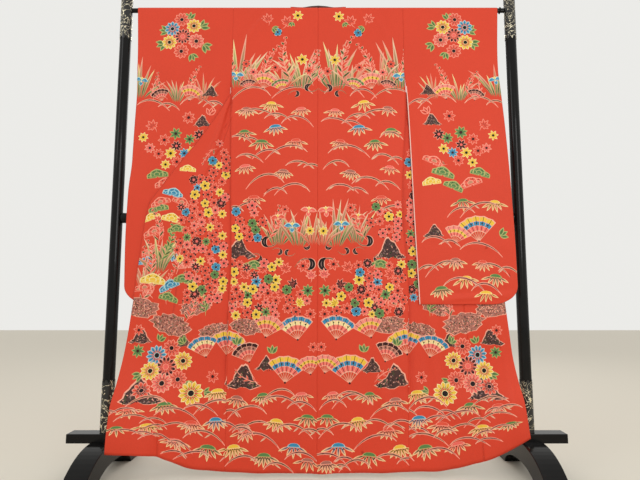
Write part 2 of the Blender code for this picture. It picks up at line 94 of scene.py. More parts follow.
# Steps of the meshes
ROW_STEP = 0.0150
BAND_STEP = 0.012
PANEL_COLUMNS = 28
OKUMI_COLUMNS = 14
TUCK_STEPS = (8, 3, 8)
OUTWARD_STEPS = 26
WRAP_STEPS = 9
OVER_ROD_STEPS = 16
CORNER_STEPS = 9
LEAST_ROW = 0.0008
ROLL_STEPS = 8
BAND_STEPS = 6

# Angles and distances that count as none, in radians and metres
STRAIGHT = 1e-6
MERGE = 1e-6
RIM_MARGIN = 2e-7

# Floor, camera and the bands of noise that the gilt scrolls follow
FLOOR_SIZE = 14.0
LENS = 27.72
SENSOR_WIDTH = 36.0
VIEW_SHIFT = -0.0126
CAMERA_PLACE = (0.0365, -1.7055, 0.5844)
CAMERA_TILT = 0.114
SCROLL_EDGES = (0.472, 0.480, 0.508, 0.516)

# height, back panel's distance behind the stand's middle plane
BACK_DEPTH = (
    (1.629, 0.0097), (1.500, 0.0110), (1.410, 0.0130), (1.300, 0.0255), (1.150, 0.0360),
    (0.980, 0.0400), (0.800, 0.0400), (0.600, 0.0370), (0.300, 0.0330), (0.013, 0.0310),
)
# height, how far behind the back panel the front hangs
FRONT_OFFSET = (
    (1.629, 0.0194), (1.570, 0.0160), (1.500, 0.0100), (1.410, LAYER_PITCH), (0.013, LAYER_PITCH),
)
# height, room left beside the side edge where the opening under the sleeve ends
OPENING_CLEAR = (
    (1.629, 0.0), (1.410, 0.0003), (1.355, 0.0016), (1.300, 0.0009), (1.230, 0.0005), (1.150, 0.0),
)
# height, distance of the body's side edge from the middle
SIDE_EDGE = {
    "left": (
        (1.629, 0.310), (1.410, 0.310), (1.300, 0.304), (0.980, 0.297), (0.700, 0.291),
        (0.500, 0.297), (0.013, 0.300),
    ),
    "right": (
        (1.629, 0.310), (1.410, 0.310), (1.300, 0.309), (0.980, 0.291), (0.860, 0.289),
        (0.740, 0.298), (0.600, 0.306), (0.400, 0.303), (0.013, 0.300),
    ),
}
# height, distance of the front's outer edge from the middle
FRONT_EDGE = {
    "left": (
        (1.629, 0.100), (1.300, 0.312), (1.212, 0.362), (1.125, 0.419), (1.053, 0.474), (0.967, 0.536),
        (0.900, 0.580), (0.808, 0.596), (0.700, 0.608), (0.572, 0.622), (0.400, 0.642), (0.300, 0.653),
        (0.220, 0.660), (0.013, 0.6625),
    ),
    "right": (
        (1.629, 0.100), (1.300, 0.318), (1.210, 0.372), (1.120, 0.432), (1.050, 0.484), (0.967, 0.545),
        (0.900, 0.588), (0.808, 0.605), (0.700, 0.619), (0.573, 0.633), (0.400, 0.653), (0.220, 0.6805),
        (0.013, 0.6928),
    ),
}
# height, cut width of the front panel, cut width of the panel and the overlap panel together
FRONT_WIDTH = ((1.629, 0.236), (1.410, 0.290), (1.300, 0.286), (0.900, 0.262), (0.013, 0.240))
WHOLE_WIDTH = ((1.629, 0.236), (1.410, 0.296), (1.300, 0.318), (0.900, 0.398), (0.600, 0.392), (0.013, 0.390))
# height, share of the tuck behind the side edge that is left
TUCK_SHARE = ((1.629, 1.0), (0.700, 1.0), (0.600, 0.8), (0.500, 0.0), (0.013, 0.0))
# height, angle in degrees by which the front turns in at the side edge
TUCK_ANGLE = ((1.629, 180.0), (0.500, 180.0), (0.300, 60.0), (0.220, 0.0), (0.013, 0.0))
# distance from the middle, hem height
HEM_LINE = {
    "left": (
        (0.0, 0.013), (0.281, 0.018), (0.418, 0.033), (0.487, 0.0615), (0.527, 0.079), (0.594, 0.089),
        (0.6625, 0.0925),
    ),
    "right": (
        (0.0, 0.013), (0.316, 0.019), (0.443, 0.028), (0.520, 0.046), (0.590, 0.0725), (0.660, 0.109),
        (0.6928, 0.127),
    ),
}
# Lower corner of each front, swung forwards: from x, to x, from height, down to height, depth
CORNER_SWING = {"left": (0.400, 0.640, 0.500, 0.100, 0.070), "right": (0.500, 0.650, 0.400, 0.120, 0.018)}
HEM_LIFT_FROM = 0.300
# x, top, half width and depth of each soft fold that rises from the hem
HEM_FOLDS = (
    (-0.560, 0.30, 0.055, 0.006), (-0.400, 0.26, 0.060, 0.010), (-0.190, 0.22, 0.070, 0.006),
    (0.020, 0.20, 0.045, 0.007), (0.215, 0.24, 0.070, 0.006), (0.390, 0.28, 0.060, 0.010),
    (0.560, 0.30, 0.060, 0.007),
)
# height, sleeve's outer edge, sleeve's inner edge
SLEEVE_EDGES = {
    "left": (
        (1.629, 0.659, 0.310), (1.410, 0.650, 0.310), (1.300, 0.649, 0.3118), (1.060, 0.650, 0.320),
        (0.940, 0.659, 0.328), (0.800, 0.661, 0.333), (0.558, 0.657, 0.340),
    ),
    "right": (
        (1.629, 0.656, 0.310), (1.410, 0.648, 0.310), (1.300, 0.652, 0.316), (1.060, 0.663, 0.324),
        (0.940, 0.668, 0.328), (0.800, 0.673, 0.333), (0.558, 0.678, 0.344),
    ),
}
# Where each sleeve's back layer hangs behind the body's back layer below the armpit
SLEEVE_BEHIND = {"left": 0.0168, "right": 0.0010}
# Collar behind the neck: place across, lean in degrees, y of the hanging part, seam height, roll height
NECK_BAND = (
    (0.000, 0.0, 0.0135, 1.6411, 0.0112),
    (0.030, 0.0, 0.0138, 1.6411, 0.0085),
    (0.055, 10.0, 0.0145, 1.6411, 0.0035),
    (0.078, 20.0, 0.0155, 1.6420, 0.0025),
    (0.0915, 27.0, 0.0163, 1.6433, 0.0022),
)
NECK_PLACES = (0.0, 0.010, 0.020, 0.030, 0.038, 0.046, 0.055, 0.063, 0.071, 0.078, 0.085, 0.0915)
# Collar over the rod: angle round the rod, lean in degrees, lift off the front's edge
WRAP_BAND = ((88.5, 30.0, 0.0021), (60.0, 30.0, 0.0021), (30.0, 30.0, 0.0012))
WRAP_ANGLES = (88.5, 75.0, 60.0, 45.0, 30.0, 15.0)
# height on the front edge, lean of the collar band in degrees
BAND_LEAN = ((1.629, 33.0), (1.605, 44.0), (1.570, 52.0), (1.500, 56.0), (0.900, 52.0))
# Creases: from x, z, to x, z, half width, push forwards (below zero it is a trough)
CREASES = (
    (-0.306, 1.275, -0.352, 1.090, 0.016, -0.0085),
    (-0.322, 1.255, -0.376, 1.035, 0.017, 0.0050),
    (-0.335, 1.180, -0.420, 0.930, 0.026, 0.0060),
    (-0.180, 1.618, -0.262, 1.520, 0.027, 0.0050),
    (-0.204, 1.612, -0.300, 1.490, 0.020, -0.0040),
    (-0.120, 1.615, -0.150, 1.480, 0.020, 0.0018),
    (0.190, 1.618, 0.265, 1.510, 0.018, 0.0026),
    (0.235, 1.610, 0.280, 1.480, 0.018, -0.0022),
    (-0.250, 1.400, -0.235, 1.080, 0.050, 0.0034),
    (0.245, 1.420, 0.230, 1.020, 0.055, 0.0036),
    (-0.060, 1.560, -0.055, 1.180, 0.045, 0.0028),
    (0.075, 1.540, 0.060, 1.150, 0.050, -0.0028),
    (-0.130, 1.020, -0.165, 0.560, 0.060, 0.0050),
    (0.140, 0.980, 0.170, 0.520, 0.060, 0.0048),
    (-0.020, 0.860, -0.030, 0.300, 0.050, -0.0040),
    (0.330, 1.240, 0.395, 0.980, 0.024, 0.0030),
    (-0.420, 0.880, -0.455, 0.420, 0.050, 0.0080),
    (-0.520, 0.780, -0.545, 0.330, 0.040, -0.0060),
    (-0.575, 0.700, -0.600, 0.200, 0.030, 0.0050),
    (-0.350, 0.520, -0.395, 0.120, 0.045, -0.0055),
    (-0.500, 0.180, -0.510, 0.060, 0.022, -0.0060),
    (-0.215, 0.290, -0.262, 0.150, 0.040, 0.0070),
    (-0.262, 0.275, -0.300, 0.165, 0.030, -0.0070),
    (0.205, 0.300, 0.240, 0.160, 0.040, 0.0060),
    (0.430, 0.560, 0.470, 0.150, 0.045, 0.0080),
    (0.545, 0.540, 0.590, 0.160, 0.035, -0.0055),
    (0.620, 0.460, 0.650, 0.150, 0.026, 0.0050),
    (0.350, 0.540, 0.370, 0.200, 0.035, -0.0045),
    (0.290, 0.290, 0.340, 0.215, 0.030, -0.0070),
)
# Creases of one sleeve alone, on both of its layers
SLEEVE_CREASES = {
    "left": (
        (-0.640, 0.930, -0.560, 0.900, 0.018, 0.0012),
        (-0.600, 1.380, -0.590, 0.980, 0.040, 0.0020),
        (-0.470, 1.560, -0.455, 1.240, 0.050, 0.0016),
        (-0.380, 1.500, -0.390, 1.200, 0.035, -0.0012),
        (-0.610, 0.860, -0.600, 0.620, 0.030, 0.0014),
    ),
    "right": (
        (0.430, 0.574, 0.640, 0.590, 0.014, 0.0050),
        (0.460, 0.612, 0.655, 0.632, 0.022, 0.0030),
        (0.350, 0.790, 0.520, 0.775, 0.022, 0.0016),
        (0.480, 0.760, 0.660, 0.748, 0.024, 0.0015),
        (0.400, 1.540, 0.410, 1.100, 0.045, 0.0018),
        (0.560, 1.500, 0.575, 1.020, 0.050, 0.0022),
        (0.480, 1.300, 0.490, 0.860, 0.050, -0.0018),
        (0.600, 1.000, 0.620, 0.680, 0.040, 0.0020),
        (0.370, 1.250, 0.360, 0.700, 0.024, 0.0016),
    ),
}

# Colours of the print, as 8-bit screen values
TINTS = {
    "ground": (216, 67, 42), "lining": (228, 190, 172), "coral": (240, 108, 96), "pale": (240, 208, 172),
    "blush": (246, 176, 150), "yellow": (238, 194, 64), "cream": (246, 226, 160), "blue": (58, 138, 176),
    "ice": (176, 214, 214), "green": (92, 132, 74), "leaf": (184, 180, 112), "maroon": (58, 22, 20),
    "dusk": (172, 110, 94), "tan": (196, 136, 104), "ink": (24, 14, 14), "scarlet": (226, 84, 62),
    "salmon": (248, 156, 134), "umber": (76, 50, 46), "edging": (246, 206, 194), "pink": (242, 138, 124),
    "moss": (66, 92, 44), "brick": (140, 42, 32), "pewter": (150, 120, 112),
}
# name: body, outline and heart of a motif
SCHEMES = {
    "coral": ("scarlet", "salmon", "maroon"), "yellow": ("yellow", "cream", "ink"),
    "blue": ("blue", "ice", "maroon"), "green": ("green", "leaf", "maroon"),
    "dark": ("maroon", "salmon", "coral"), "pink": ("coral", "blush", "maroon"),
    "dusk": ("dusk", "blush", "maroon"),
}
# name: outer, middle and inner band of a fan
FAN_BANDS = {
    "coral": ("pink", "yellow", "coral"), "yellow": ("yellow", "blue", "coral"),
    "blue": ("blue", "cream", "coral"), "green": ("green", "pink", "yellow"),
    "dark": ("maroon", "dusk", "coral"),
}
ROCK_FLECKS = ("pewter", "ink", "moss", "pewter", "ink", "blush", "pewter", "ink", "dusk")
HAZE_FLECKS = ("umber", "ink", "blush", "moss", "brick", "salmon", "blush", "pewter")
DRIFT_SCHEMES = (
    "yellow", "coral", "dark", "coral", "blue", "pink", "coral", "yellow", "pink", "green", "coral",
)

# Print sizes, in metres
EDGING_WIDTH = 0.0030
EDGING_TOP = 1.330
EDGING_STEP = 0.05
PLAIN_BELOW = 0.930
PLAIN_FROM = 0.500
ARM_PRINT_FROM = 0.286
ARM_PRINT_TOP = 1.16
# Painted shade on the collar: half width and lowest height of the dark arch behind the neck, where the collar
# lies in shadow
NECK_SHADE_HALF = 0.054
NECK_SHADE_FROM = 1.640
LARGE_MUM = 0.030
LARGE_FROND = 0.1
BOW_RIM = 0.0084
BOW_LINE = 0.0046
BOW_NOTCH = 0.0014
BOW_BLADE = 0.0028
BOW_BLADE_RUN = (0.018, 0.028)
BOW_BLADE_DROP = (0.012, 0.020)
HAZE_FLECK = 0.0014
HAZE_FLECK_LENGTH = (0.005, 0.010)
HAZE_FLECKS_EACH_METRE = 1900
FLECK_CORNERS = 4

# How far motifs are nudged, and how the drifts of small blossoms are strewn
NUDGE = 0.004
SIZE_CHANGE = 0.05
TURN_CHANGE = 0.2
TURNED_ABOUT = ("star", "plum", "mum", "maple", "leaves")
BLOSSOM_GAP = 0.0240
BLOSSOM_TRIES = 40
BLOSSOM_SIZES = (0.0155, 0.0185)
STAR_SHARE = 0.35
BODY_SEED = 9
BODY_DRIFT_SEED = 94
FRONT_DRIFT_SEED = 64
SLEEVE_SEED = 44


def linear(name):
    """A tint as linear light, by the standard screen curve, and opaque."""
    shares = [value / 255 for value in TINTS[name]]
    return (*(s / 12.92 if s <= 0.04045 else ((s + 0.055) / 1.055) ** 2.4 for s in shares), 1.0)


LINEAR = {name: linear(name) for name in TINTS}


def read(table, place, column=1):
    """A table's value at a place in its first column, on smooth curves between its rows."""
    rows = table if table[0][0] < table[-1][0] else table[::-1]
    if place <= rows[0][0]:
        return rows[0][column]
    if place >= rows[-1][0]:
        return rows[-1][column]
    after = next(i for i, row in enumerate(rows) if row[0] >= place)
    low, high = rows[after - 1], rows[after]
    span = high[0] - low[0]
    rise = (high[column] - low[column]) / span

    def slope(index):
        """Rise of the curve at a row."""
        if index <= 0 or index >= len(rows) - 1:
            return rise
        one, two, three = rows[index - 1], rows[index], rows[index + 1]
        first = (two[column] - one[column]) / (two[0] - one[0])
        second = (three[column] - two[column]) / (three[0] - two[0])
        if first * second <= 0:
            return 0.0
        return 2 * first * second / (first + second)

    share = (place - low[0]) / span
    start, end = slope(after - 1) * span, slope(after) * span
    square, cube = share * share, share ** 3
    return (
        (2 * cube - 3 * square + 1) * low[column]
        + (cube - 2 * square + share) * start
        + (3 * square - 2 * cube) * high[column]
        + (cube - square) * end
    )


def held(share):
    """A share held between 0 and 1."""
    return min(1.0, max(0.0, share))


def smooth(share):
    """A share eased in and out."""
    share = held(share)
    return share * share * (3 - 2 * share)


def quarter_round(share):
    """Height of a quarter circle at a share of its width."""
    return math.sqrt(max(0.0, 1 - (1 - share) ** 2))


def hem_fold(x, z):
    """How far the soft folds near the hem push the cloth forwards."""
    push = 0.0
    for middle, top, half_width, depth in HEM_FOLDS:
        across = abs(x - middle) / half_width
        if across < 1 and z < top:
            push += depth * smooth(1 - across) * smooth(1 - z / top)
    return push


def creased(table, x, z):
    """How far the creases of a table push the cloth forwards."""
    push = 0.0
    for x0, z0, x1, z1, half_width, depth in table:
        run, rise = x1 - x0, z1 - z0
        square = run * run + rise * rise
        along = ((x - x0) * run + (z - z0) * rise) / square
        left = 1 + CREASE_FADE - along
        if along <= -CREASE_FADE or left <= 0:
            continue
        away = abs((x - x0) * rise - (z - z0) * run) / math.sqrt(square)
        width = half_width * (CREASE_START + CREASE_SPREAD * along)
        if away < width:
            ends = smooth((along + CREASE_FADE) / (2 * CREASE_FADE)) * smooth(left / (2 * CREASE_FADE))
            push += depth * ends * smooth(1 - away / width)
    return push


def lifted(side, across, level):
    """A row's height, raised towards the hem where the hem is drawn up."""
    if level >= HEM_LIFT_FROM:
        return level
    share = (HEM_LIFT_FROM - level) / (HEM_LIFT_FROM - HEM_LEVEL)
    return level + (read(HEM_LINE[side], across) - HEM_LEVEL) * share ** LIFT_POWER


def corner_swing(side, across, z):
    """How far a front's lower corner hangs forwards, clear of the foot."""
    near, far, top, bottom, depth = CORNER_SWING[side]
    return depth * smooth((across - near) / (far - near)) * smooth((top - z) / (top - bottom))


def placed(side, across, depth, level):
    """A point of the cloth from its distance from the middle, its y and its row."""
    x = SIGN[side] * across
    z = lifted(side, across, level)
    push = hem_fold(x, z) + corner_swing(side, across, z) + creased(CREASES, x, z)
    return (x, depth - push, z)


def round_rod(side, across, offset, turn):
    """A point of the cloth where it lies over the rod, at an angle above the far side."""
    reach = FOLD_RADIUS + offset
    return (SIGN[side] * across, reach * math.cos(turn), ROD_HEIGHT + reach * math.sin(turn))


def back_y(level):
    """y of the back panels at a level."""
    return -read(BACK_DEPTH, level)


def front_y(level):
    """y of the fronts at a level."""
    return back_y(level) + read(FRONT_OFFSET, level)


def bend(start, heading, turn, length):
    """End and new heading of a stretch of cloth that turns evenly over its length."""
    if abs(turn) < STRAIGHT:
        return (start[0] + length * math.cos(heading), start[1] + length * math.sin(heading)), heading
    radius = length / turn
    end = heading + turn
    return (
        start[0] + radius * (math.sin(end) - math.sin(heading)),
        start[1] - radius * (math.cos(end) - math.cos(heading)),
    ), end


class FrontRow:
    """One level of a front: out from the side edge, folded in behind the back, and out again."""

    def __init__(self, side, level):
        self.level = level
        opened = smooth((level - ARMPIT) / (ARMHOLE_BOTTOM - ARMPIT))
        first = math.pi * opened
        tuck = max(first, math.radians(read(TUCK_ANGLE, level)))
        edge = read(SIDE_EDGE[side], level)
        self.reach = read(FRONT_EDGE[side], level)
        radius = TURN_RADIUS if level < ROD_HEIGHT else TOP_TURN_SHARE * TURN_RADIUS
        arc = math.pi * radius
        clear = SEAM_GAP + read(OPENING_CLEAR, level)
        start = (
            edge + clear - 2 * SEAM_GAP * opened,
            back_y(level) + opened * (front_y(level) - back_y(level)),
        )
        turned, _ = bend(start, first, tuck - first, arc)
        width = read(WHOLE_WIDTH, level) - 2 * arc
        back_again, _ = bend((0.0, 0.0), tuck, -tuck, arc)
        spare = width - (self.reach - turned[0] - back_again[0])
        inward = max(LEAST_STRETCH, spare / 2 * read(TUCK_SHARE, level))
        outward = self.reach - turned[0] - back_again[0] - inward * math.cos(tuck)
        self.parts = ((arc, tuck - first), (inward, 0.0), (arc, -tuck), (max(LEAST_STRETCH, outward), 0.0))
        self.start, self.heading = start, first
        self.length = sum(part[0] for part in self.parts)
        self.okumi = read(WHOLE_WIDTH, level) - read(FRONT_WIDTH, level) if level < ARMHOLE_BOTTOM else 0.0

    def at(self, along):
        """(distance from the middle, y) at a length along the row."""
        point, heading = self.start, self.heading
        for length, turn in self.parts:
            if along <= length:
                share = along / length if length else 0.0
                return bend(point, heading, turn * share, along)[0]
            point, heading = bend(point, heading, turn, length)
            along -= length
        return point[0] + along, point[1]

    def from_edge(self, u):
        """(distance from the middle, y) at a place across the plan, which is counted from the free edge."""
        return self.at(u - self.reach + self.length)

    def breaks(self, steps):
        """Lengths along the row at which the mesh has columns, up to its last stretch."""
        found, passed = [], 0.0
        for (length, _), count in zip(self.parts, steps):
            found += [passed + length * i / count for i in range(count)]
            passed += length
        return found + [passed]


def ring(count, radius, turn=0.0):
    """Complex points all round a circle."""
    return [cmath.rect(radius, turn + FULL_TURN * i / count) for i in range(count)]


class Ink:
    """Shapes of a print in painter's order, as outlines of complex points in the plane of a panel."""

    def __init__(self):
        self.shapes = []

    def add(self, points, first, second=None, base=None, tip=None):
        """An outline tinted first, or from first at base to second at tip."""
        self.shapes.append((points, first, second, base, tip))

    def disc(self, centre, radius, tint, sides):
        """A round spot."""
        self.add([centre + spot for spot in ring(sides, radius)], tint)

    def petal(self, root, tip, width, tint, power=1.0, tail=None, steps=4, curve=0.0):
        """A leaf or petal; power above 1 makes it blunt, below 1 pointed; curve bends it sideways."""
        axis = tip - root
        left, right = [], []
        for i in range(1, steps):
            share = i / steps
            middle = root + axis * (share + 1j * curve * 4 * share * (1 - share))
            wide = 1j * axis / abs(axis) * width * math.sin(math.pi * share ** power)
            left.append(middle + wide)
            right.append(middle - wide)
        self.add([root] + right + [tip] + left[::-1], tint, tail, root, tip)

    def stroke(self, points, width, tint, tail=None, taper=True):
        """A line through points, even or with tapered ends that stay a little blunt."""
        blunt, fullness = 0.04, 0.7
        left, right = [], []
        last = len(points) - 1
        for i, point in enumerate(points):
            aim = points[min(i + 1, last)] - points[max(i - 1, 0)]
            share = min(1 - blunt, max(blunt, i / last))
            wide = width * (math.sin(math.pi * share) ** fullness if taper else 1.0) / 2
            aim = 1j * aim / abs(aim) * wide
            left.append(point + aim)
            right.append(point - aim)
        self.add(right + left[::-1], tint, tail, points[0], points[-1])


def bezier(start, one, two, end, steps):
    """Points on a curve drawn from start to end towards two handles."""
    found = []
    for i in range(steps + 1):
        s = i / steps
        r = 1 - s
        found.append(r ** 3 * start + 3 * r ** 2 * s * one + 3 * r * s * s * two + s ** 3 * end)
    return found


# Each function below draws one motif. Its bare numbers are shares of the motif's size, tapers and angles.
# All take the same arguments, so that a row of a print table can name any of them.


def mum(ink, at, size, turn, scheme, chance):
    """A chrysanthemum seen from above: outlined petals round a dark heart."""
    body, edge, heart = SCHEMES[scheme]
    count = 12 if size > LARGE_MUM else 10
    aims = ring(count, size, turn)
    wide = size * 2.3 / count
    for aim in aims:
        ink.petal(at + aim * 0.20, at + aim, wide, edge, 1.8)
    for aim in aims:
        ink.petal(at + aim * 0.24, at + aim * 0.91, wide * 0.68, body, 1.8)
    for aim in aims:
        ink.petal(at + aim * 0.26, at + aim * 0.66, wide * 0.14, heart, steps=2)
    ink.disc(at, 0.29 * size, edge, 9)
    ink.disc(at, 0.24 * size, heart if heart == "coral" else "ink", 9)


def star(ink, at, size, turn, scheme, chance):
    """A small flower with seven or eight pointed petals, and a stamen between each two."""
    body, edge, heart = SCHEMES[scheme]
    count = 7 if chance.random() < 0.5 else 8
    for share, wide, tint in ((1.0, 0.24, edge), (0.88, 0.180, body)):
        for aim in ring(count, size, turn):
            ink.petal(at, at + aim * share, wide * size, tint, 1.05, steps=3)
    ink.disc(at, 0.24 * size, heart, 7)
    for aim in ring(count, size, turn + math.pi / count):
        ink.disc(at + aim * 0.34, 0.045 * size, "maroon" if heart == "ink" else "ink", 4)


def plum(ink, at, size, turn, scheme, chance):
    """A plum blossom: five round petals, dark notches between them, and stamens."""
    body, edge, heart = SCHEMES[scheme]
    for reach, tint in ((0.43, edge), (0.36, body)):
        for aim in ring(5, 0.56 * size, turn):
            ink.disc(at + aim, reach * size, tint, 9)
    ink.disc(at, 0.25 * size, heart, 7)
    for aim, between in zip(ring(5, size, turn), ring(5, 0.88 * size, turn + math.pi / 5)):
        ink.disc(at + between, 0.19 * size, "maroon", 5)
        ink.petal(at + aim * 0.1, at + aim * 0.52, 0.035 * size, heart, 1.6, steps=3)


def maple(ink, at, size, turn, scheme, chance):
    """A maple leaf with seven pointed lobes and a stem."""
    body, edge, heart = SCHEMES[scheme]
    lobes = ((-2.3, 0.55), (-1.5, 0.80), (-0.75, 0.96), (0.0, 1.0), (0.75, 0.96), (1.5, 0.80), (2.3, 0.55))
    stem = [at, at + cmath.rect(0.5 * size, turn + 3.0), at + cmath.rect(0.9 * size, turn + 3.25)]
    ink.stroke(stem, 0.08 * size, edge)
    for share, wide, tint in ((1.0, 0.20, edge), (0.88, 0.15, body)):
        for swing, length in lobes:
            ink.petal(at, at + cmath.rect(size * length * share, turn + swing), wide * size, tint, 0.85)
    for swing, length in lobes[1:-1]:
        ink.petal(at, at + cmath.rect(size * length * 0.6, turn + swing), 0.025 * size, heart, 0.8, steps=2)


def leaves(ink, at, size, turn, scheme, chance):
    """Three short outlined leaves that fan out from one point."""
    body, edge, heart = SCHEMES[scheme]
    for swing in (-0.65, 0.0, 0.6):
        aim = cmath.rect(size, turn + swing)
        ink.petal(at, at + aim, 0.25 * size, edge, 0.85)
        ink.petal(at + aim * 0.08, at + aim * 0.88, 0.16 * size, body, 0.85)
        ink.petal(at + aim * 0.1, at + aim * 0.7, 0.03 * size, heart, 0.8, steps=2)


def spray(ink, at, size, turn, scheme, chance):
    """A tuft of bamboo grass: a small coloured cap with pointed leaves that fan out below it."""
    body, edge, heart = SCHEMES[scheme]
    tilt = cmath.rect(size, chance.uniform(-0.16, 0.16))
    wide = chance.uniform(0.20, 0.25)
    count = chance.choice((5, 6, 7))
    for i in range(count):
        share = i / (count - 1) * 2 - 1
        root = at + tilt * complex(share * wide * 0.7, 0.02 * (1 - abs(share)))
        drop = (0.46 - 0.27 * abs(share) ** 1.5) * chance.uniform(0.85, 1.12)
        axis = at + tilt * complex(share * chance.uniform(0.50, 0.64), -drop) - root
        ink.petal(root, root + axis, 0.062 * size, "salmon", 0.95, "cream")
        ink.petal(root, root + axis * 0.86, 0.034 * size, body, 0.9, "tan", 3)
        ink.petal(root + axis * 0.12, root + axis * 0.55, 0.014 * size, heart, 0.9, steps=2)
    dome = [complex(wide * math.cos(math.pi * i / 6), 0.13 * math.sin(math.pi * i / 6)) for i in range(7)]
    ink.add([at + tilt * (p * 1.2 + complex(0, -0.02)) for p in dome], edge)
    ink.add([at + tilt * p for p in dome], body)
    for i in range(count - 1):
        share = (i + 0.5) / (count - 1) * 2 - 1
        knot = complex(share * wide * 1.15, -0.06 - 0.04 * share * share)
        ink.disc(at + tilt * knot, 0.030 * size, "maroon", 4)


def bow(ink, start, end, rise, dark, chance):
    """One low bow of grass: pale ends, a dark back and side blades."""
    span = end - start
    line = bezier(start, start + 0.22 * span + 1j * rise, start + 0.70 * span + 1.1j * rise, end, 9)
    for i, way in ((3, -1), (6, 1)):
        if chance.random() < 0.6:
            root = line[i]
            tip = root + complex(way * chance.uniform(*BOW_BLADE_RUN), -chance.uniform(*BOW_BLADE_DROP))
            ink.petal(root, tip, BOW_BLADE, "tan", 0.9, "pale", 3)
    ink.stroke(line, BOW_RIM, "blush", "salmon")
    ink.stroke(line[1:-1], BOW_LINE, "dusk", dark)
    for i in (3, 5):
        ink.petal(line[i], line[i + 1], BOW_NOTCH, "maroon", steps=2)


def arc(ink, at, size, turn, scheme, chance):
    """Two low bows of grass that cross, or one alone."""
    dark = "umber" if scheme == "dark" else "moss"
    way = chance.choice((-1, 1))
    rise = size * chance.uniform(0.21, 0.31) * (1 + 0.3 * turn)
    fall = complex(0, -chance.uniform(0.06, 0.20) * size)
    bow(ink, at - way * size * 0.42, at + way * size * 0.36 + fall, rise, dark, chance)
    if chance.random() < 0.65:
        at += complex(way * 0.30, -0.05) * size
        bow(ink, at - way * size * 0.22, at + way * size * 0.30 + fall * 0.6, rise * 0.7, dark, chance)


def clump(ink, at, size, turn, scheme, chance):
    """Long splayed blades of iris or reed from one root."""
    body, _, heart = SCHEMES[scheme]
    for i in range(8):
        share = (i - 3.5) / 3.5
        length = size * chance.uniform(0.5, 1.0) * (1 - 0.3 * abs(share))
        root = at + complex(share * size * 0.10, chance.uniform(-0.02, 0.02) * size)
        tip = root + complex(share * size * 0.42 + chance.uniform(-0.06, 0.06) * size, length)
        curve = share * chance.uniform(0.03, 0.12)
        far = chance.choice(("pale", "blush", "salmon", "cream"))
        near = "tan" if i % 2 else "leaf"
        ink.petal(root, tip, 0.034 * size, "tan", 0.8, far, 5, curve)
        ink.petal(root, root + (tip - root) * 0.86, 0.019 * size, body, 0.75, near, 4, curve)
        if i % 2 == 0:
            ink.petal(root, root + (tip - root) * 0.5, 0.007 * size, heart, 0.7, steps=2, curve=curve)


def iris(ink, at, size, turn, scheme, chance):
    """An iris flower from the side: three broad falls under three small standards."""
    body, edge, _ = SCHEMES[scheme]
    for swing in (2.15, 0.99, 1.57):
        ink.petal(at, at + cmath.rect(size * 0.66, swing + turn), 0.17 * size, "cream", 1.2)
        ink.petal(at, at + cmath.rect(size * 0.52, swing + turn), 0.10 * size, "yellow", 1.2, steps=3)
    for swing, length, lean in ((3.05, 1.05, -0.16), (0.09, 1.05, 0.16), (-1.57, 0.72, 0.0)):
        aim = cmath.rect(size * length, swing + turn)
        ink.petal(at - aim * 0.12, at + aim, 0.30 * size, edge, 1.15, steps=5, curve=lean)
        ink.petal(at - aim * 0.04, at + aim * 0.88, 0.22 * size, body, 1.15, steps=5, curve=lean)
        ink.petal(at + aim * 0.1, at + aim * 0.62, 0.07 * size, edge, 1.0, body, 3, lean)
    ink.petal(at + 0.14j * size, at - 0.26j * size, 0.07 * size, "cream", 0.9, steps=3)


def frond(ink, at, size, turn, scheme, chance):
    """A curved stem with leaves in turn on both sides."""
    body, edge, _ = SCHEMES[scheme]
    aim = cmath.rect(size, turn)
    side = chance.choice((-1, 1)) * 0.16j
    line = bezier(at, at + aim * (0.33 + side), at + aim * (0.66 + side), at + aim, 8)
    ink.stroke(line, 0.035 * size, edge)
    for i in range(1, 9, 1 if size > LARGE_FROND else 2):
        for way in (1, -1):
            leaf = aim * cmath.rect(0.24 * (1.15 - i / 9), way * 0.7)
            tint = body if (i + way) % 3 else "moss"
            ink.petal(line[i], line[i] + leaf, 0.034 * size, edge, 0.85, steps=3)
            ink.petal(line[i], line[i] + leaf * 0.85, 0.022 * size, tint, 0.85, steps=3)


def pine(ink, at, size, turn, scheme, chance):
    """A leaning pine crown: three overlapping scalloped humps full of needle lines."""
    body, edge, _ = SCHEMES[scheme]
    tilt = cmath.rect(size, chance.uniform(-0.45, 0.45))
    humps = ((-0.27, -0.02, 0.23), (0.28, -0.03, 0.22), (chance.uniform(-0.08, 0.08), 0.05, 0.30))
    core = "tan" if body == "scarlet" else body
    flat = 0.80
    for across, lift, grow in humps:
        middle = complex(across, lift)
        for share, tint in ((1.0, edge), (0.82, body), (0.46, edge), (0.34, core)):
            outline = []
            for i in range(13):
                swing = math.pi * (i / 12 * 1.30 - 0.15)
                reach = grow * share * (1.0 + 0.15 * abs(math.sin(swing * 3.0)))
                spot = complex(reach * math.cos(swing), flat * reach * math.sin(swing))
                outline.append(at + tilt * (middle + spot))
            ink.add(outline, tint)
        for i in range(5):
            aim = cmath.rect(grow * 0.98, 0.25 + i * 0.64)
            aim = complex(aim.real, aim.imag * flat)
            tint = "maroon" if i % 2 else edge
            root, tip = at + tilt * (middle + aim * 0.5), at + tilt * (middle + aim)
            ink.petal(root, tip, 0.016 * size, tint, 0.9, steps=2)


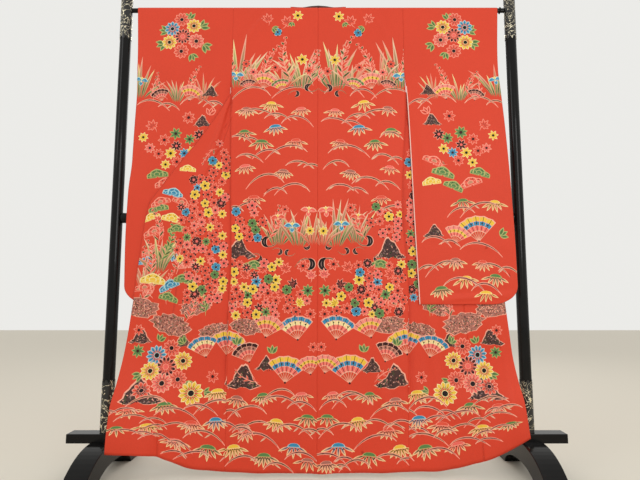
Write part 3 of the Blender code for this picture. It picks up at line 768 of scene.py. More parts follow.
def rock(ink, at, size, turn, scheme, chance):
    """A humped garden rock with a spreading foot, mottled all over with lichen."""
    peak = chance.uniform(-0.14, 0.14)

    def crest(across):
        """Height of the rock's upper edge."""
        summit = 0.42 * math.exp(-(abs(across - peak) / 0.20) ** 2.4)
        shoulder = 0.16 * math.exp(-((across - peak - 0.26) / 0.10) ** 2)
        return summit + shoulder + 0.22 * math.cos(math.pi * across)

    outline = []
    for i in range(17):
        across = 0.5 - i / 16
        height = crest(across) * chance.uniform(0.90, 1.08) - 0.16
        outline.append(complex(across * (1 + 0.04 * (-1) ** i), height))
    for i in range(1, 7):
        outline.append(complex(i / 7 - 0.5, -0.20 + chance.uniform(-0.07, 0.07)))
    ink.add([at + (p * 1.10 + 0.01j) * size for p in outline], "blush")
    ink.add([at + p * size for p in outline], "umber")
    for _ in range(95):
        across = chance.uniform(-0.46, 0.46)
        spot = complex(across, chance.uniform(-0.20, max(-0.14, crest(across) - 0.20)))
        tint = chance.choice(ROCK_FLECKS)
        flick = cmath.rect(chance.uniform(0.05, 0.09), chance.uniform(0, FULL_TURN))
        ink.petal(at + spot * size, at + (spot + flick) * size, size * 0.015, tint, 1.1, steps=2)


def haze(ink, at, size, turn, scheme, chance):
    """A bank of dusty ground: a pale wavy outline filled with short strokes."""
    outline = []
    flat = 0.50
    for i in range(24):
        swing = FULL_TURN * i / 24
        reach = 0.5 * (1 + 0.07 * (-1) ** i) * chance.uniform(0.88, 1.08)
        outline.append(complex(reach * math.cos(swing), flat * reach * math.sin(swing)) * cmath.rect(1, turn))
    ink.add([at + p * size * 1.05 for p in outline], "blush")
    ink.add([at + p * size for p in outline], "dusk")
    for _ in range(int(HAZE_FLECKS_EACH_METRE * size)):
        spot = cmath.rect(0.46 * math.sqrt(chance.random()), chance.uniform(0, FULL_TURN))
        spot = complex(spot.real, flat * spot.imag) * cmath.rect(size, turn)
        tint = chance.choice(HAZE_FLECKS)
        flick = cmath.rect(chance.uniform(*HAZE_FLECK_LENGTH), chance.uniform(0, FULL_TURN))
        ink.petal(at + spot, at + spot + flick, HAZE_FLECK, tint, steps=2)


def stream(ink, at, size, turn, scheme, chance):
    """Running water: a bold dark crescent with a pale rim, and the thin line that it swells from."""
    line = [at + cmath.rect(size * 0.5, turn + math.radians(-82 + 16.4 * i)) for i in range(11)]
    away = (line[0] - line[1]) / abs(line[0] - line[1]) * size
    sweep = cmath.rect(1.0, -0.9)
    tail = bezier(line[2], line[0] + away * 0.1, line[0] + away * 0.7, line[0] + away * 1.5 * sweep, 6)
    ink.stroke(tail, 0.14 * size, "blush", "tan")
    ink.stroke(tail, 0.07 * size, "ink", "moss")
    ink.stroke(line, 0.62 * size, "blush")
    ink.stroke(line, 0.48 * size, "ink")
    ink.stroke(line[3:-3], 0.07 * size, "pewter")


def fan(ink, at, size, turn, scheme, chance):
    """An open folding fan in coloured bands on slim ribs."""
    outer_band, middle_band, inner_band = FAN_BANDS[scheme]
    half, folds, ribs, rim = 0.82, 10, 7, 0.035

    def spoke(swing):
        """The fan's radius, swung from its middle."""
        return cmath.rect(size, turn + math.pi / 2 + swing)

    def band(near, far, tint, past=0.0):
        """A folded band between two shares of the radius, reaching past both sides."""
        outer, inner = [], []
        for i in range(folds + 1):
            aim = spoke(2 * (half + past) * i / folds - half - past)
            notch = 1.0 if i % 2 else 0.97
            outer.append(at + aim * far * notch)
            inner.append(at + aim * near * notch)
        ink.add(outer + inner[::-1], tint)

    for i in range(ribs):
        aim = spoke(2 * half * i / (ribs - 1) - half)
        ink.stroke([at, at + aim * 0.25, at + aim * 0.46], 0.028 * size, "blush", "tan", False)
    ink.disc(at, 0.045 * size, "maroon", 6)
    band(0.40, 1.03, "blush", rim)
    band(0.44, 0.62, inner_band)
    band(0.64, 0.80, middle_band)
    band(0.82, 0.985, outer_band)
    for i in range(1, folds):
        aim = spoke(2 * half * i / folds - half)
        fold = [at + aim * share for share in (0.42, 0.72, 0.99)]
        ink.stroke(fold, 0.020 * size, "maroon" if i % 2 else "blush", None, False)
    for i in range(5):
        ink.disc(at + spoke(2 * half * (i + 0.7) / 5.4 - half) * 0.72, 0.035 * size, "maroon", 5)


MOTIFS = {
    "mum": mum, "star": star, "plum": plum, "maple": maple, "leaves": leaves, "spray": spray, "arc": arc,
    "clump": clump, "iris": iris, "frond": frond, "pine": pine, "rock": rock, "haze": haze, "stream": stream,
    "fan": fan,
}

# Print of one half of the body, given for both halves: motif, place across, height, size, turn, scheme
BODY_PRINT = (
    ("maple", 0.182, 1.588, 0.026, 1.2, "coral"), ("maple", 0.118, 1.575, 0.029, 2.2, "coral"),
    ("plum", 0.146, 1.538, 0.017, 0.3, "blue"), ("star", 0.072, 1.604, 0.021, 0.4, "yellow"),
    ("leaves", 0.170, 1.556, 0.024, 3.6, "green"), ("leaves", 0.093, 1.580, 0.020, 5.0, "green"),
    ("arc", 0.250, 1.290, 0.190, 0.2, "dusk"), ("arc", 0.100, 1.300, 0.180, 0.2, "dark"),
    ("clump", 0.292, 1.318, 0.235, 0.0, "green"), ("clump", 0.228, 1.330, 0.150, 0.0, "coral"),
    ("clump", 0.058, 1.318, 0.225, 0.0, "green"), ("clump", 0.120, 1.325, 0.150, 0.0, "pink"),
    ("frond", 0.190, 1.345, 0.150, 1.9, "coral"), ("frond", 0.262, 1.335, 0.140, 1.2, "coral"),
    ("frond", 0.020, 1.335, 0.130, 1.7, "pink"), ("frond", 0.090, 1.345, 0.170, 1.4, "coral"),
    ("fan", 0.196, 1.318, 0.062, 0.25, "coral"), ("fan", 0.128, 1.312, 0.048, -0.30, "green"),
    ("fan", 0.246, 1.312, 0.042, -0.2, "dark"),
    ("iris", 0.296, 1.368, 0.030, 0.1, "blue"), ("star", 0.058, 1.430, 0.023, 0.6, "yellow"),
    ("star", 0.034, 1.392, 0.019, 0.2, "coral"), ("star", 0.150, 1.400, 0.018, 0.9, "coral"),
    ("plum", 0.262, 1.418, 0.016, 0.5, "coral"), ("star", 0.232, 1.386, 0.018, 1.1, "pink"),
    ("stream", 0.030, 1.322, 0.026, 0.3, "dark"), ("stream", 0.080, 1.300, 0.022, 3.3, "dark"),
    ("spray", 0.165, 1.262, 0.075, 0.0, "yellow"), ("spray", 0.250, 1.240, 0.070, 0.0, "dusk"),
    ("spray", 0.060, 1.236, 0.066, 0.0, "pink"), ("arc", 0.200, 1.215, 0.170, 0.0, "dusk"),
    ("arc", 0.070, 1.190, 0.150, 0.0, "dark"), ("spray", 0.145, 1.172, 0.076, 0.0, "blue"),
    ("spray", 0.254, 1.158, 0.072, 0.0, "green"), ("arc", 0.262, 1.132, 0.110, 0.0, "dusk"),
    ("spray", 0.196, 1.116, 0.076, 0.0, "green"), ("spray", 0.078, 1.122, 0.070, 0.0, "coral"),
    ("arc", 0.118, 1.082, 0.190, 0.0, "dark"), ("arc", 0.235, 1.060, 0.120, 0.0, "dusk"),
    ("spray", 0.252, 1.030, 0.066, 0.0, "pink"), ("arc", 0.060, 1.030, 0.120, 0.0, "dusk"),
    ("spray", 0.118, 1.012, 0.070, 0.0, "dusk"), ("arc", 0.186, 0.972, 0.170, 0.0, "dusk"),
    ("spray", 0.222, 0.918, 0.070, 0.0, "coral"), ("arc", 0.090, 0.945, 0.150, 0.0, "dark"),
    ("arc", 0.245, 0.880, 0.120, 0.0, "dusk"),
    ("clump", 0.132, 0.760, 0.170, 0.0, "green"), ("clump", 0.062, 0.752, 0.190, 0.0, "green"),
    ("clump", 0.018, 0.760, 0.140, 0.0, "coral"), ("frond", 0.172, 0.775, 0.120, 1.9, "coral"),
    ("iris", 0.084, 0.822, 0.029, 0.0, "blue"), ("star", 0.112, 0.884, 0.016, 0.2, "coral"),
    ("iris", 0.032, 0.872, 0.028, 0.1, "pink"), ("iris", 0.138, 0.852, 0.027, -0.1, "coral"),
    ("star", 0.024, 0.806, 0.018, 0.1, "yellow"), ("plum", 0.186, 0.836, 0.017, 0.6, "coral"),
    ("stream", 0.164, 0.768, 0.034, 0.0, "dark"), ("stream", 0.132, 0.738, 0.020, 3.6, "dark"),
    ("stream", 0.096, 0.734, 0.020, 0.3, "dark"), ("stream", 0.040, 0.757, 0.020, 4.4, "dark"),
    ("stream", 0.034, 0.697, 0.038, 3.2, "dark"), ("stream", 0.205, 0.716, 0.020, 3.9, "dark"),
    ("star", 0.216, 0.870, 0.018, 0.2, "pink"), ("star", 0.246, 0.815, 0.017, 0.7, "coral"),
    ("rock", 0.252, 0.736, 0.096, 0.0, "dark"), ("pine", 0.215, 0.686, 0.070, 0.0, "green"),
    ("maple", 0.178, 0.672, 0.026, 0.8, "coral"), ("maple", 0.108, 0.676, 0.025, 2.0, "coral"),
    ("star", 0.052, 0.690, 0.022, 0.4, "coral"), ("maple", 0.022, 0.655, 0.024, 1.5, "pink"),
    ("star", 0.140, 0.640, 0.022, 0.1, "yellow"), ("star", 0.205, 0.632, 0.020, 0.5, "blue"),
    ("maple", 0.250, 0.655, 0.026, 2.4, "coral"), ("maple", 0.078, 0.626, 0.026, 0.4, "dark"),
    ("star", 0.030, 0.600, 0.022, 0.0, "green"), ("star", 0.168, 0.592, 0.022, 0.7, "coral"),
    ("maple", 0.120, 0.588, 0.026, 1.1, "coral"), ("star", 0.232, 0.590, 0.022, 0.3, "green"),
    ("star", 0.272, 0.606, 0.020, 0.3, "coral"), ("maple", 0.060, 0.560, 0.025, 2.6, "yellow"),
    ("star", 0.100, 0.542, 0.020, 0.5, "coral"), ("star", 0.192, 0.548, 0.020, 0.5, "dark"),
    ("star", 0.024, 0.528, 0.020, 0.5, "coral"), ("pine", 0.258, 0.552, 0.070, 0.0, "coral"),
    ("haze", 0.236, 0.486, 0.110, 0.1, "dusk"), ("haze", 0.348, 0.470, 0.100, -0.2, "dusk"),
    ("fan", 0.062, 0.444, 0.082, -0.15, "blue"), ("fan", 0.176, 0.452, 0.070, 0.25, "coral"),
    ("fan", 0.300, 0.392, 0.080, 0.15, "yellow"), ("fan", 0.226, 0.372, 0.062, -0.35, "dark"),
    ("rock", 0.244, 0.306, 0.110, 0.0, "dark"), ("rock", 0.176, 0.352, 0.066, 0.0, "dark"),
    ("fan", 0.104, 0.300, 0.088, 0.12, "yellow"), ("fan", 0.024, 0.330, 0.060, -0.2, "coral"),
    ("leaves", 0.150, 0.398, 0.030, 1.6, "green"), ("leaves", 0.262, 0.420, 0.030, 1.4, "green"),
    ("star", 0.014, 0.420, 0.018, 0.2, "coral"), ("frond", 0.190, 0.300, 0.090, 0.5, "coral"),
    ("spray", 0.050, 0.262, 0.072, 0.0, "pink"), ("spray", 0.176, 0.262, 0.074, 0.0, "green"),
    ("arc", 0.110, 0.228, 0.180, 0.0, "dark"), ("spray", 0.262, 0.246, 0.078, 0.0, "dusk"),
    ("arc", 0.235, 0.200, 0.170, 0.0, "dusk"), ("spray", 0.030, 0.190, 0.078, 0.0, "green"),
    ("spray", 0.130, 0.176, 0.084, 0.0, "yellow"), ("spray", 0.238, 0.146, 0.082, 0.0, "coral"),
    ("arc", 0.070, 0.140, 0.170, 0.0, "dusk"), ("arc", 0.180, 0.112, 0.190, 0.0, "dark"),
    ("spray", 0.072, 0.096, 0.090, 0.0, "blue"), ("spray", 0.172, 0.066, 0.088, 0.0, "green"),
    ("arc", 0.040, 0.055, 0.150, 0.0, "dark"), ("spray", 0.272, 0.088, 0.086, 0.0, "yellow"),
    ("arc", 0.130, 0.250, 0.150, 0.0, "dusk"),
    ("arc", 0.250, 0.046, 0.150, 0.0, "dusk"), ("arc", 0.205, 0.160, 0.130, 0.0, "dusk"),
    ("arc", 0.290, 0.150, 0.140, 0.0, "dark"), ("arc", 0.120, 0.024, 0.130, 0.0, "dusk"),
    ("spray", 0.030, 0.048, 0.078, 0.0, "dusk"),
)
# Print of the front and its overlap panel, below the side opening
FRONT_PRINT = (
    ("star", 0.345, 1.120, 0.015, 0.2, "pink"), ("frond", 0.352, 1.100, 0.080, -0.9, "coral"),
    ("star", 0.330, 1.085, 0.017, 0.5, "coral"), ("star", 0.365, 1.052, 0.019, 0.2, "green"),
    ("pine", 0.450, 1.022, 0.056, 0.0, "yellow"), ("pine", 0.500, 0.938, 0.072, 0.0, "blue"),
    ("pine", 0.548, 0.880, 0.070, 0.0, "green"), ("pine", 0.500, 0.850, 0.074, 0.0, "yellow"),
    ("pine", 0.560, 0.800, 0.072, 0.0, "coral"), ("pine", 0.512, 0.742, 0.080, 0.0, "green"),
    ("pine", 0.540, 0.905, 0.070, 0.0, "coral"), ("pine", 0.566, 0.850, 0.062, 0.0, "yellow"),
    ("pine", 0.470, 0.905, 0.060, 0.0, "coral"), ("pine", 0.560, 0.736, 0.076, 0.0, "coral"),
    ("pine", 0.478, 0.812, 0.066, 0.0, "green"), ("pine", 0.470, 0.726, 0.070, 0.0, "blue"),
    ("pine", 0.580, 0.700, 0.066, 0.0, "blue"), ("pine", 0.440, 0.690, 0.066, 0.0, "pink"),
    ("frond", 0.478, 0.660, 0.120, 1.5, "pink"), ("frond", 0.512, 0.560, 0.120, 1.8, "coral"),
    ("frond", 0.556, 0.580, 0.110, 1.3, "pink"), ("frond", 0.430, 0.610, 0.090, 1.7, "coral"),
    ("pine", 0.500, 0.580, 0.070, 0.0, "green"), ("pine", 0.388, 0.560, 0.066, 0.0, "pink"),
    ("frond", 0.500, 0.700, 0.110, 2.2, "coral"), ("frond", 0.530, 0.640, 0.130, 1.1, "coral"),
    ("clump", 0.540, 0.668, 0.170, 0.0, "green"), ("clump", 0.585, 0.600, 0.150, 0.0, "coral"),
    ("pine", 0.500, 0.620, 0.072, 0.0, "blue"), ("pine", 0.420, 0.570, 0.072, 0.0, "yellow"),
    ("frond", 0.470, 0.560, 0.110, 2.6, "coral"), ("frond", 0.600, 0.560, 0.110, 2.0, "pink"),
    ("pine", 0.590, 0.610, 0.066, 0.0, "coral"), ("frond", 0.400, 0.600, 0.090, 1.0, "coral"),
    ("frond", 0.548, 0.760, 0.120, 1.4, "coral"), ("frond", 0.548, 0.700, 0.140, 1.9, "green"),
    ("frond", 0.572, 0.650, 0.120, 1.5, "coral"), ("pine", 0.560, 0.640, 0.080, 0.0, "yellow"),
    ("pine", 0.450, 0.640, 0.074, 0.0, "green"), ("pine", 0.360, 0.600, 0.070, 0.0, "coral"),
    ("haze", 0.602, 0.552, 0.130, 0.1, "dusk"), ("haze", 0.408, 0.548, 0.100, -0.2, "dusk"),
    ("haze", 0.488, 0.492, 0.140, 0.2, "dusk"),
    ("frond", 0.380, 0.520, 0.110, 1.2, "green"), ("frond", 0.440, 0.500, 0.110, 1.8, "coral"),
    ("rock", 0.590, 0.440, 0.070, 0.0, "dark"), ("rock", 0.566, 0.262, 0.120, 0.0, "dark"),
    ("rock", 0.440, 0.430, 0.064, 0.0, "dark"),
    ("leaves", 0.530, 0.430, 0.028, 1.8, "green"), ("leaves", 0.440, 0.430, 0.028, 1.0, "green"),
    ("leaves", 0.580, 0.330, 0.028, -0.6, "green"), ("leaves", 0.440, 0.300, 0.028, 3.6, "green"),
    ("mum", 0.486, 0.416, 0.031, 0.1, "coral"), ("mum", 0.536, 0.392, 0.033, 0.5, "blue"),
    ("mum", 0.452, 0.372, 0.032, 0.2, "yellow"), ("mum", 0.502, 0.354, 0.036, 0.3, "dark"),
    ("mum", 0.556, 0.336, 0.032, 0.4, "yellow"), ("mum", 0.464, 0.310, 0.031, 0.0, "coral"),
    ("mum", 0.516, 0.296, 0.034, 0.2, "pink"), ("mum", 0.420, 0.268, 0.042, 0.2, "yellow"),
    ("mum", 0.572, 0.282, 0.030, 0.2, "coral"), ("star", 0.600, 0.400, 0.022, 0.2, "green"),
    ("fan", 0.376, 0.386, 0.070, -0.25, "blue"), ("star", 0.350, 0.316, 0.022, 0.1, "coral"),
    ("star", 0.600, 0.470, 0.020, 0.1, "coral"), ("leaves", 0.374, 0.262, 0.028, 2.8, "green"),
    ("spray", 0.330, 0.268, 0.080, 0.0, "yellow"), ("arc", 0.350, 0.222, 0.180, 0.0, "dusk"),
    ("spray", 0.500, 0.222, 0.084, 0.0, "green"), ("spray", 0.596, 0.216, 0.078, 0.0, "coral"),
    ("spray", 0.332, 0.180, 0.084, 0.0, "blue"), ("arc", 0.450, 0.186, 0.190, 0.0, "dark"),
    ("spray", 0.412, 0.160, 0.086, 0.0, "coral"), ("arc", 0.580, 0.168, 0.160, 0.0, "dusk"),
    ("spray", 0.540, 0.146, 0.082, 0.0, "yellow"), ("spray", 0.628, 0.140, 0.074, 0.0, "green"),
    ("arc", 0.360, 0.116, 0.180, 0.0, "dusk"), ("spray", 0.356, 0.086, 0.090, 0.0, "green"),
    ("spray", 0.462, 0.092, 0.084, 0.0, "pink"), ("arc", 0.500, 0.090, 0.160, 0.0, "dark"),
    ("arc", 0.410, 0.060, 0.160, 0.0, "dark"), ("arc", 0.560, 0.236, 0.160, 0.0, "dusk"),
    ("arc", 0.620, 0.200, 0.120, 0.0, "dark"), ("arc", 0.380, 0.206, 0.150, 0.0, "dark"),
    ("arc", 0.470, 0.140, 0.150, 0.0, "dusk"), ("arc", 0.590, 0.120, 0.130, 0.0, "dark"),
)
# A thick drift of small blossoms: from across, to across, from height, to height, count
DRIFT = (
    (0.318, 0.372, 1.000, 1.060, 5), (0.318, 0.430, 0.900, 0.990, 15), (0.318, 0.470, 0.790, 0.895, 25),
    (0.318, 0.480, 0.690, 0.785, 24), (0.318, 0.440, 0.570, 0.685, 16),
)
# The same for the body, where its print leaves room
BODY_DRIFT = (
    (0.030, 0.290, 0.520, 0.620, 12), (0.120, 0.290, 0.600, 0.700, 9), (0.200, 0.290, 0.780, 0.900, 3),
)
# Print of both sleeves
SLEEVE_PRINT = (
    ("leaves", 0.428, 1.556, 0.034, 2.7, "green"), ("leaves", 0.548, 1.548, 0.034, 0.3, "green"),
    ("leaves", 0.420, 1.490, 0.034, 3.7, "green"), ("leaves", 0.556, 1.498, 0.034, -0.4, "green"),
    ("leaves", 0.470, 1.586, 0.030, 1.8, "green"), ("leaves", 0.462, 1.458, 0.030, 4.4, "green"),
    ("mum", 0.496, 1.584, 0.029, 0.1, "coral"), ("mum", 0.452, 1.560, 0.029, 0.4, "yellow"),
    ("mum", 0.532, 1.556, 0.028, 0.2, "blue"), ("mum", 0.442, 1.508, 0.029, 0.2, "pink"),
    ("mum", 0.490, 1.524, 0.030, 0.5, "dark"), ("mum", 0.538, 1.500, 0.029, 0.1, "yellow"),
    ("mum", 0.492, 1.464, 0.029, 0.3, "coral"),
    ("arc", 0.420, 1.268, 0.170, 0.2, "dark"), ("arc", 0.580, 1.262, 0.150, 0.2, "dusk"),
    ("clump", 0.408, 1.276, 0.120, 0.0, "coral"), ("clump", 0.500, 1.276, 0.130, 0.0, "green"),
    ("clump", 0.636, 1.290, 0.170, 0.0, "green"), ("frond", 0.456, 1.290, 0.120, 1.8, "coral"),
    ("frond", 0.534, 1.285, 0.100, 1.2, "coral"), ("frond", 0.590, 1.276, 0.090, 1.7, "pink"),
    ("fan", 0.458, 1.282, 0.056, 0.2, "coral"), ("fan", 0.556, 1.278, 0.044, -0.3, "dark"),
    ("rock", 0.388, 1.306, 0.056, 0.0, "dark"), ("iris", 0.634, 1.352, 0.026, 0.2, "blue"),
    ("rock", 0.404, 1.196, 0.064, 0.0, "dark"), ("leaves", 0.388, 1.222, 0.030, 2.0, "coral"),
    ("star", 0.462, 1.214, 0.024, 0.3, "coral"), ("maple", 0.584, 1.180, 0.028, 1.0, "coral"),
    ("star", 0.616, 1.140, 0.020, 0.3, "yellow"), ("star", 0.420, 1.150, 0.022, 0.6, "dark"),
    ("star", 0.452, 1.132, 0.022, 0.1, "green"), ("star", 0.500, 1.158, 0.024, 0.4, "green"),
    ("star", 0.498, 1.112, 0.023, 0.2, "dark"), ("star", 0.540, 1.132, 0.023, 0.7, "coral"),
    ("star", 0.438, 1.096, 0.020, 0.3, "yellow"), ("star", 0.470, 1.080, 0.020, 0.0, "blue"),
    ("star", 0.520, 1.082, 0.022, 0.5, "yellow"), ("star", 0.556, 1.084, 0.021, 0.2, "coral"),
    ("star", 0.590, 1.100, 0.019, 0.6, "pink"), ("star", 0.492, 1.050, 0.020, 0.1, "coral"),
    ("star", 0.534, 1.046, 0.019, 0.9, "yellow"), ("frond", 0.450, 1.040, 0.070, 2.9, "coral"),
    ("pine", 0.402, 1.046, 0.070, 0.0, "coral"), ("pine", 0.432, 1.004, 0.078, 0.0, "green"),
    ("pine", 0.392, 0.974, 0.064, 0.0, "yellow"), ("pine", 0.560, 1.006, 0.070, 0.0, "green"),
    ("pine", 0.530, 0.972, 0.076, 0.0, "coral"), ("pine", 0.470, 0.960, 0.070, 0.0, "green"),
    ("spray", 0.500, 0.906, 0.072, 0.0, "green"), ("spray", 0.606, 0.902, 0.072, 0.0, "yellow"),
    ("arc", 0.556, 0.874, 0.180, 0.0, "dusk"), ("rock", 0.396, 0.800, 0.066, 0.0, "dark"),
    ("fan", 0.548, 0.770, 0.086, 0.1, "yellow"), ("fan", 0.470, 0.764, 0.060, -0.3, "coral"),
    ("leaves", 0.620, 0.790, 0.032, 0.4, "green"), ("arc", 0.410, 0.770, 0.130, 0.0, "dark"),
    ("arc", 0.560, 0.744, 0.180, 0.0, "dark"), ("spray", 0.466, 0.706, 0.074, 0.0, "dusk"),
    ("spray", 0.560, 0.700, 0.070, 0.0, "coral"), ("arc", 0.426, 0.680, 0.160, 0.0, "dusk"),
    ("arc", 0.600, 0.672, 0.140, 0.0, "dusk"), ("spray", 0.604, 0.648, 0.078, 0.0, "green"),
    ("spray", 0.502, 0.640, 0.076, 0.0, "yellow"), ("arc", 0.500, 0.610, 0.190, 0.0, "dark"),
    ("spray", 0.420, 0.612, 0.076, 0.0, "green"), ("spray", 0.570, 0.592, 0.074, 0.0, "yellow"),
)


def printed(tables, seed):
    """The ink of a list of motif tables, each motif nudged a little."""
    chance = random.Random(seed)
    ink = Ink()
    for table in tables:
        for kind, across, height, size, turn, scheme in table:
            at = complex(across + chance.uniform(-NUDGE, NUDGE), height + chance.uniform(-NUDGE, NUDGE))
            size *= chance.uniform(1 - SIZE_CHANGE, 1 + SIZE_CHANGE)
            if kind in TURNED_ABOUT:
                turn += chance.uniform(-TURN_CHANGE, TURN_CHANGE)
            MOTIFS[kind](ink, at, size, turn, scheme, chance)
    return ink


def drifting(ink, seed, areas, table=()):
    """Adds a drift of small blossoms, kept apart from one another and from a table's motifs."""
    chance = random.Random(seed)
    kept = [complex(row[1], row[2]) for row in table]
    first = len(kept)
    for low, high, bottom, top, count in areas:
        for _ in range(count * BLOSSOM_TRIES):
            spot = complex(chance.uniform(low, high), chance.uniform(bottom, top))
            if all(abs(spot - other) > BLOSSOM_GAP for other in kept):
                kept.append(spot)
    for spot in kept[first:]:
        scheme = chance.choice(DRIFT_SCHEMES)
        kind = star if chance.random() < STAR_SHARE else plum
        kind(ink, spot, chance.uniform(*BLOSSOM_SIZES), chance.uniform(0, 1), scheme, chance)


def box_of(points):
    """Left, right, bottom and top of an outline."""
    across, up = [p.real for p in points], [p.imag for p in points]
    return min(across), max(across), min(up), max(up)


def clipped(ink, rows):
    """The shapes whose boxes meet a panel's rows of plan points."""
    bands = [(row[0][1], min(p[0] for p in row), max(p[0] for p in row)) for row in rows]
    kept = []
    for shape in ink.shapes:
        low, high, bottom, top = box_of(shape[0])
        for (level, near, far), (after, near2, far2) in zip(bands, bands[1:]):
            if min(level, after) <= top and max(level, after) >= bottom:
                if low <= max(far, far2) and high >= min(near, near2):
                    kept.append(shape)
                    break
    return kept


def tint_at(shape, spot):
    """The tint of a shape at a spot of the plan."""
    _, first, second, base, tip = shape
    if second is None:
        return LINEAR[first]
    axis = tip - base
    share = held(((spot - base) * axis.conjugate()).real / abs(axis) ** 2)
    return tuple(a + (b - a) * share for a, b in zip(LINEAR[first], LINEAR[second]))


def turning(points):
    """Twice an outline's area, above zero where it runs anticlockwise."""
    return sum(a[0] * b[1] - b[0] * a[1] for a, b in zip(points, points[1:] + points[:1]))


def within(rows, u, t):
    """Whether a spot lies between the first and last columns of a panel's rows."""
    low, high = 0, len(rows) - 1
    falling = rows[0][0][1] > rows[-1][0][1]
    while high - low > 1:
        middle = (low + high) // 2
        if (rows[middle][0][1] >= t) == falling:
            low = middle
        else:
            high = middle
    one, two = rows[low], rows[high]
    share = (t - one[0][1]) / (two[0][1] - one[0][1])
    if not 0 <= share <= 1:
        return False
    near = one[0][0] + (two[0][0] - one[0][0]) * share
    far = one[-1][0] + (two[-1][0] - one[-1][0]) * share
    return near + RIM_MARGIN < u < far - RIM_MARGIN


def rim_of(faces):
    """The closed runs of edges that only one face has, each in its face's direction."""
    used = {pair for face in faces for pair in zip(face, face[1:] + face[:1])}
    follow = {a: b for a, b in used if (b, a) not in used}
    loops = []
    while follow:
        corner = next(iter(follow))
        loop = []
        while corner in follow:
            loop.append(corner)
            corner = follow.pop(corner)
        loops.append(loop)
    return loops


def grid_faces(count, columns):
    """Four-cornered faces between neighbouring rows of points."""
    return [
        [r * columns + i, r * columns + i + 1, (r + 1) * columns + i + 1, (r + 1) * columns + i]
        for r in range(count - 1)
        for i in range(columns - 1)
    ]


def middle_of(spots, triangle):
    """Middle of a triangle of the plan."""
    return sum(spots[i][0] for i in triangle) / 3, sum(spots[i][1] for i in triangle) / 3


def cut_print(rows, shapes):
    """A panel's plan cut along its print: spots, triangles, and each triangle's shape or None."""
    plan = [Vector(point) for row in rows for point in row]
    faces = grid_faces(len(rows), len(rows[0]))
    cells = len(faces)
    for shape in shapes:
        faces.append(list(range(len(plan), len(plan) + len(shape[0]))))
        plan += [Vector((p.real, p.imag)) for p in shape[0]]
    for face in faces:
        if turning([plan[i] for i in face]) < 0:
            face.reverse()
    spots, _, cut, _, _, origins = delaunay_2d_cdt(plan, [], faces, 0, MERGE, True)
    boxes = [box_of(shape[0]) for shape in shapes]
    kept, owners = [], []
    for face, origin in zip(cut, origins):
        u, t = middle_of(spots, face)
        if not within(rows, u, t):
            continue
        owner = None
        for number in sorted((n - cells for n in origin if n >= cells), reverse=True):
            low, high, bottom, top = boxes[number]
            if low < u < high and bottom < t < top:
                owner = shapes[number]
                break
        kept.append(face)
        owners.append(owner)
    numbers = {}
    for face in kept:
        for corner in face:
            numbers.setdefault(corner, len(numbers))
    return [spots[i] for i in numbers], [[numbers[i] for i in face] for face in kept], owners


def cut_lining(rows, spots, loops):
    """The lining's plan inside a printed face's rims: spots, triangles, and the spot of each rim point."""
    plan = [spots[i] for loop in loops for i in loop]
    faces, start = [], 0
    for loop in loops:
        faces.append(list(range(start, start + len(loop))))
        start += len(loop)
    plan += [Vector(point) for row in rows[1:-1] for point in row[1:-1]]
    spots, _, cut, sources, _, _ = delaunay_2d_cdt(plan, [], faces, 0, MERGE, True)
    cut = [face for face in cut if within(rows, *middle_of(spots, face))]
    return spots, cut, {source: number for number, found in enumerate(sources) for source in found}


def moved_out(points, triangles, amount):
    """Points moved off their surface, each along the mean normal of its triangles."""
    normals = [Vector((0.0, 0.0, 0.0)) for _ in points]
    for triangle in triangles:
        a, b, c = (points[i] for i in triangle)
        normal = (b - a).cross(c - a)
        for i in triangle:
            normals[i] += normal
    return [p + n.normalized() * amount for p, n in zip(points, normals)]


def cloth_object(name, points, faces, tints, material):
    """An object of cloth with a tint at each corner of each face."""
    mesh = bpy.data.meshes.new(name)
    mesh.from_pydata(points, [], faces)
    layer = mesh.color_attributes.new("Print", "FLOAT_COLOR", "CORNER")
    layer.data.foreach_set("color", [value for tint in tints for value in tint])
    mesh.shade_smooth()
    mesh.materials.append(material)
    made = bpy.data.objects.new(name, mesh)
    bpy.context.scene.collection.objects.link(made)
    return made


def sheet(kind, side, rows, place, ink, material):
    """A thin closed sheet of cloth: a printed face, a lining, and a rim between them.

    rows are rows of plan points and place gives a plan point's place in the room. The plan of a left
    panel is mirrored in the room, so its faces are turned over.
    """
    mirrored = side == "left"
    spots, cut, owners = cut_print(rows, clipped(ink, rows))
    loops = rim_of(cut)
    lining_spots, lining_cut, number_of = cut_lining(rows, spots, loops)
    way = -1.0 if mirrored else 1.0
    outer = moved_out([Vector(place(*spot)) for spot in spots], cut, way * CLOTH / 2)
    inner = moved_out([Vector(place(*spot)) for spot in lining_spots], lining_cut, -way * LINING_SET_BACK)
    shift = len(outer)
    faces, tints = [], []
    for face, owner in zip(cut, owners):
        face = face[::-1] if mirrored else face
        faces.append(face)
        if owner is None:
            tints += [LINEAR["ground"]] * 3
        else:
            tints += [tint_at(owner, complex(*spots[i])) for i in face]
    for face in lining_cut:
        faces.append([shift + i for i in (face if mirrored else face[::-1])])
        tints += [LINEAR["lining"]] * 3
    start = 0
    for loop in loops:
        rim = [shift + number_of[start + k] for k in range(len(loop))]
        for k in range(len(loop)):
            after = (k + 1) % len(loop)
            quad = [loop[after], loop[k], rim[k], rim[after]]
            faces.append(quad[::-1] if mirrored else quad)
            tints += [LINEAR["ground"]] * 4
        start += len(loop)
    return cloth_object(f"{kind}_{side}_silk", outer + inner, faces, tints, material)


def spaced(top, bottom, step):
    """Heights from top to bottom, evenly spaced by about a step."""
    count = max(1, round((top - bottom) / step))
    return [top + (bottom - top) * i / count for i in range(count + 1)]


def seam_dip(distance):
    """How far the cloth turns in beside a seam."""
    return SEAM_DIP * smooth(1 - distance / SEAM_REACH)


